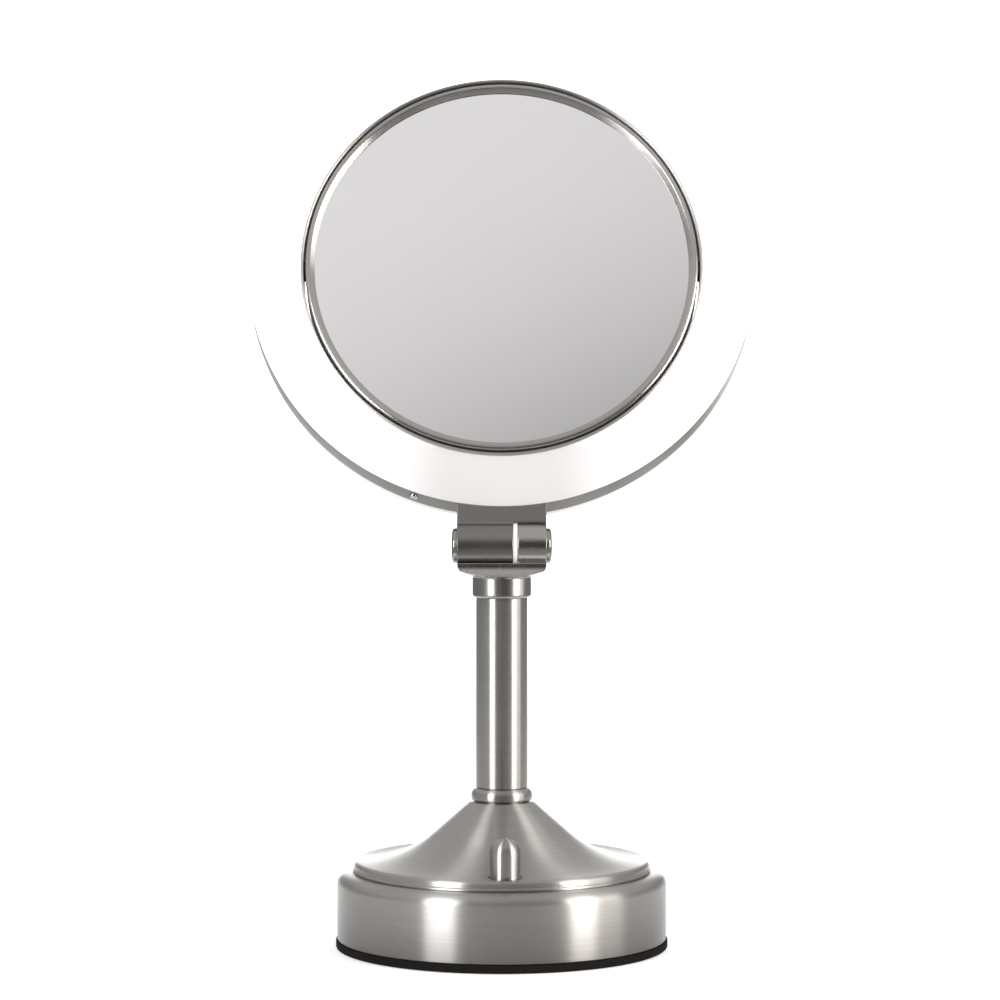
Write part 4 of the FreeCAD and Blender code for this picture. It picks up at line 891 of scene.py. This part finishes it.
def mirror_frame(name, facing):
    """One pressed ring of the frame: a flat outer face with a fine line, a round crest and a bevel."""
    node = "mirror_frame_" + name
    radius, low, high = reach(node, RING)
    crest = max(abs(low), abs(high))
    line = 5.95
    lip = 77.2
    glass_way = 78.95
    parting = 0.01
    outline = [
        (radius, parting),
        (radius, line - 0.4, 0.25),
        (radius - 0.4, line, 0.2),
        (radius, line + 0.4, 0.25),
        (radius, crest, 1.25),
        (radius - 2.0, crest, 0.5),
        (lip, GLASS_SEAT + 0.37, 0.15),
        (lip, GLASS_SEAT),
        (glass_way, GLASS_SEAT),
        (glass_way, 3.0),
        (radius - FRAME_WALL, 2.0),
        (radius - FRAME_WALL, parting),
    ]
    faced = [(across, facing * level, *rest) for across, level, *rest in outline]
    ring = turned("frame_" + name, faced, RING, RING_TURNS)
    side_holes(ring, 2.02, 76, 8)
    dress(ring, MATERIALS["frame"], "mirror", "bright_nickel", node)


def pivot_bush(name, side):
    """A grey flanged bush in the inner band, with a softened rim."""
    node = "pivot_bush_" + name
    place = RING @ Matrix.Rotation(side * math.pi / 2, 4, "Y")
    radius, low, high = reach(node, place)
    bush = turned("bush_" + name, [
        (PIVOT_WAY, low),
        (radius, low, 0.3),
        (radius, BAND_BORE),
        (SLEEVE, BAND_BORE),
        (SLEEVE, high, 0.3),
        (PIVOT_WAY, high),
    ], place, 64)
    dress(bush, MATERIALS["bush"], "head", "dark_nylon", node)


def glass_plain():
    """The flat mirror, its front edge ground to a narrow soft bevel."""
    radius, low, high = reach("glass_plain", RING)
    glass = turned("flat_glass", [
        (0, low),
        (radius, low, 0.3),
        (radius, high, 0.35),
        (0, high),
    ], RING, RING_TURNS)
    dress(glass, MATERIALS["mirror"], "mirror", "mirror_glass", "glass_plain")


def glass_magnifying():
    """The hollow mirror on the other side: one smooth sphere, its middle deeper than its edge."""
    radius, low, _ = reach("glass_magnifying", RING)
    curve = 600.0
    wall = 2.5
    steps = 48
    rim = math.sqrt(curve * curve - radius * radius)
    face = []
    for step in range(steps + 1):
        across = radius * step / steps
        face.append((across, low + math.sqrt(curve * curve - across * across) - rim))
    back = [(across, level + wall) for across, level in reversed(face)]
    glass = turned("hollow_glass", face + back, RING, 256)
    dress(glass, MATERIALS["mirror"], "mirror", "mirror_glass", "glass_magnifying")


outer_hoop()
inner_hoop()
front_diffuser()
rear_shell()
mirror_frame("front", 1)
mirror_frame("rear", -1)
glass_plain()
glass_magnifying()
pivot_bush("left", -1)
pivot_bush("right", 1)


# ---------------------------------------------------------------- camera, light and floor
def camera():
    """The photograph's viewpoint: a long lens in front of the stand, slightly above its middle."""
    lens = bpy.data.cameras.new("camera")
    lens.sensor_width = 36
    lens.lens = 151.64
    lens.clip_end = 20
    looking_down = 3.5
    eye = bpy.data.objects.new("camera", lens)
    bpy.context.scene.collection.objects.link(eye)
    eye.location = (-0.0007, -1.700, 0.2857)
    eye.rotation_euler = (math.radians(90 - looking_down), 0, 0)
    bpy.context.scene.camera = eye


def softbox(name, azimuth, distance, height, width, tall, watts, tint=(1, 1, 1)):
    """A tall soft light round the object; azimuth is measured from the front, positive to the right."""
    lamp = bpy.data.lights.new(name, "AREA")
    lamp.shape = "RECTANGLE"
    lamp.size = width
    lamp.size_y = tall
    lamp.energy = watts
    lamp.color = tint
    box = bpy.data.objects.new(name, lamp)
    bpy.context.scene.collection.objects.link(box)
    turn = math.radians(azimuth)
    spot = Vector((math.sin(turn), -math.cos(turn), 0)) * distance
    spot.z = height
    aim = Vector((0, 0, 0.19)) - spot
    box.location = spot
    box.rotation_euler = aim.to_track_quat("-Z", "Y").to_euler()


def studio_world():
    """Grey studio walls, dark behind the camera at eye level, with a bright ceiling card in front."""
    world = bpy.data.worlds.new("studio")
    bpy.context.scene.world = world
    world.use_nodes = True
    nodes = Nodes.of(world.node_tree)
    way = nodes.add("ShaderNodeTexCoord").outputs["Generated"]
    sideways, rearwards, upwards = nodes.add("ShaderNodeSeparateXYZ", {0: way}).outputs
    front = nodes.band(rearwards, -0.95, -0.45, 1.0, 0.0, "SMOOTHSTEP")
    lean = nodes.band(sideways, -0.14, 0.14, 0.075, -0.075)
    card = nodes.band(nodes.math("ADD", upwards, lean), 0.36, 0.80, 0.02, 0.82, "SMOOTHSTEP")
    ceiling = nodes.band(upwards, 0.12, 0.50, 0.26, 0.76, "SMOOTHSTEP")
    level = nodes.mixed(front, ceiling, card)
    background = world.node_tree.nodes["Background"]
    nodes.feed(background.inputs["Strength"], level)
    background.inputs["Color"].default_value = colour(1.0, 0.985, 0.98)


def backdrop_paper():
    """White paper, lit from behind."""
    nodes = Nodes("backdrop_paper")
    speckle = nodes.noise(nodes.place(), 40.0, 3.0)
    tint = tinted(nodes, speckle, colour(0.80, 0.80, 0.80), colour(0.84, 0.84, 0.84))
    return nodes.set(Base_Color=tint, Roughness=0.8, Emission_Color=colour(1, 1, 1),
                     Emission_Strength=1.0)


def floor_paper():
    """Pale paper that glows, a painted light, in a strip under and behind the stand, and is a darker grey well in
    front of it, a painted shade.
    """
    nodes = Nodes("floor_paper")
    spot = nodes.place()
    speckle = nodes.noise(spot, 40.0, 3.0)
    across, along, _ = nodes.add("ShaderNodeSeparateXYZ", {0: spot}).outputs
    # painted light: a strip under and behind the stand glows; painted shade: the paper darkens to grey in front of
    # the stand
    outward = nodes.math("SUBTRACT", nodes.math("ABSOLUTE", across), nodes.math("MULTIPLY", along, 0.12))
    strip = nodes.band(outward, 0.22, 0.30, 1.0, 0.0, "SMOOTHSTEP")
    lit = nodes.math("MULTIPLY", strip, nodes.band(along, -0.17, -0.125, 0.0, 1.0, "SMOOTHSTEP"))
    near = nodes.band(along, -1.2, -0.2, 0.0, 1.0, "SMOOTHSTEP")
    shade = nodes.spread(near, 0.07, 0.30)
    shade = nodes.mixed(lit, shade, 0.80)
    shade = nodes.math("MULTIPLY", shade, nodes.spread(speckle, 0.97, 1.03))
    grey = nodes.add("ShaderNodeCombineColor", {0: shade, 1: shade, 2: shade}).outputs[0]
    return nodes.set(Base_Color=grey, Roughness=0.8, Emission_Color=colour(1, 1, 1),
                     Emission_Strength=nodes.math("MULTIPLY", lit, 0.42))


def floor():
    """A pale round floor, just under the foot pad."""
    shape = bmesh.new()
    bmesh.ops.create_circle(shape, cap_ends=True, cap_tris=False, segments=96, radius=4.0)
    mesh = mesh_of("floor", shape)
    mesh.materials.append(floor_paper())
    object_from("floor", mesh, Matrix.Translation((0, 0, cad_box[0][2] - 0.0002)))


def backdrop():
    """A white paper sheet that stands well behind the object."""
    shape = bmesh.new()
    bmesh.ops.create_grid(shape, x_segments=1, y_segments=1, size=0.38)
    mesh = mesh_of("backdrop", shape)
    mesh.materials.append(backdrop_paper())
    place = Matrix.Translation((0, 1.3, 0.12)) @ Matrix.Rotation(math.pi / 2, 4, "X")
    object_from("backdrop", mesh, place)


camera()
studio_world()
softbox("left_softbox", -43, 1.5, 0.42, 0.58, 1.3, 20)
softbox("right_softbox", 58, 1.5, 0.42, 0.50, 1.3, 20, (1.0, 0.96, 0.91))
softbox("right_wall", 79, 1.7, 0.42, 0.80, 1.3, 8, (1.0, 0.95, 0.89))
floor()
backdrop()
bpy.context.scene.view_settings.view_transform = "Standard"
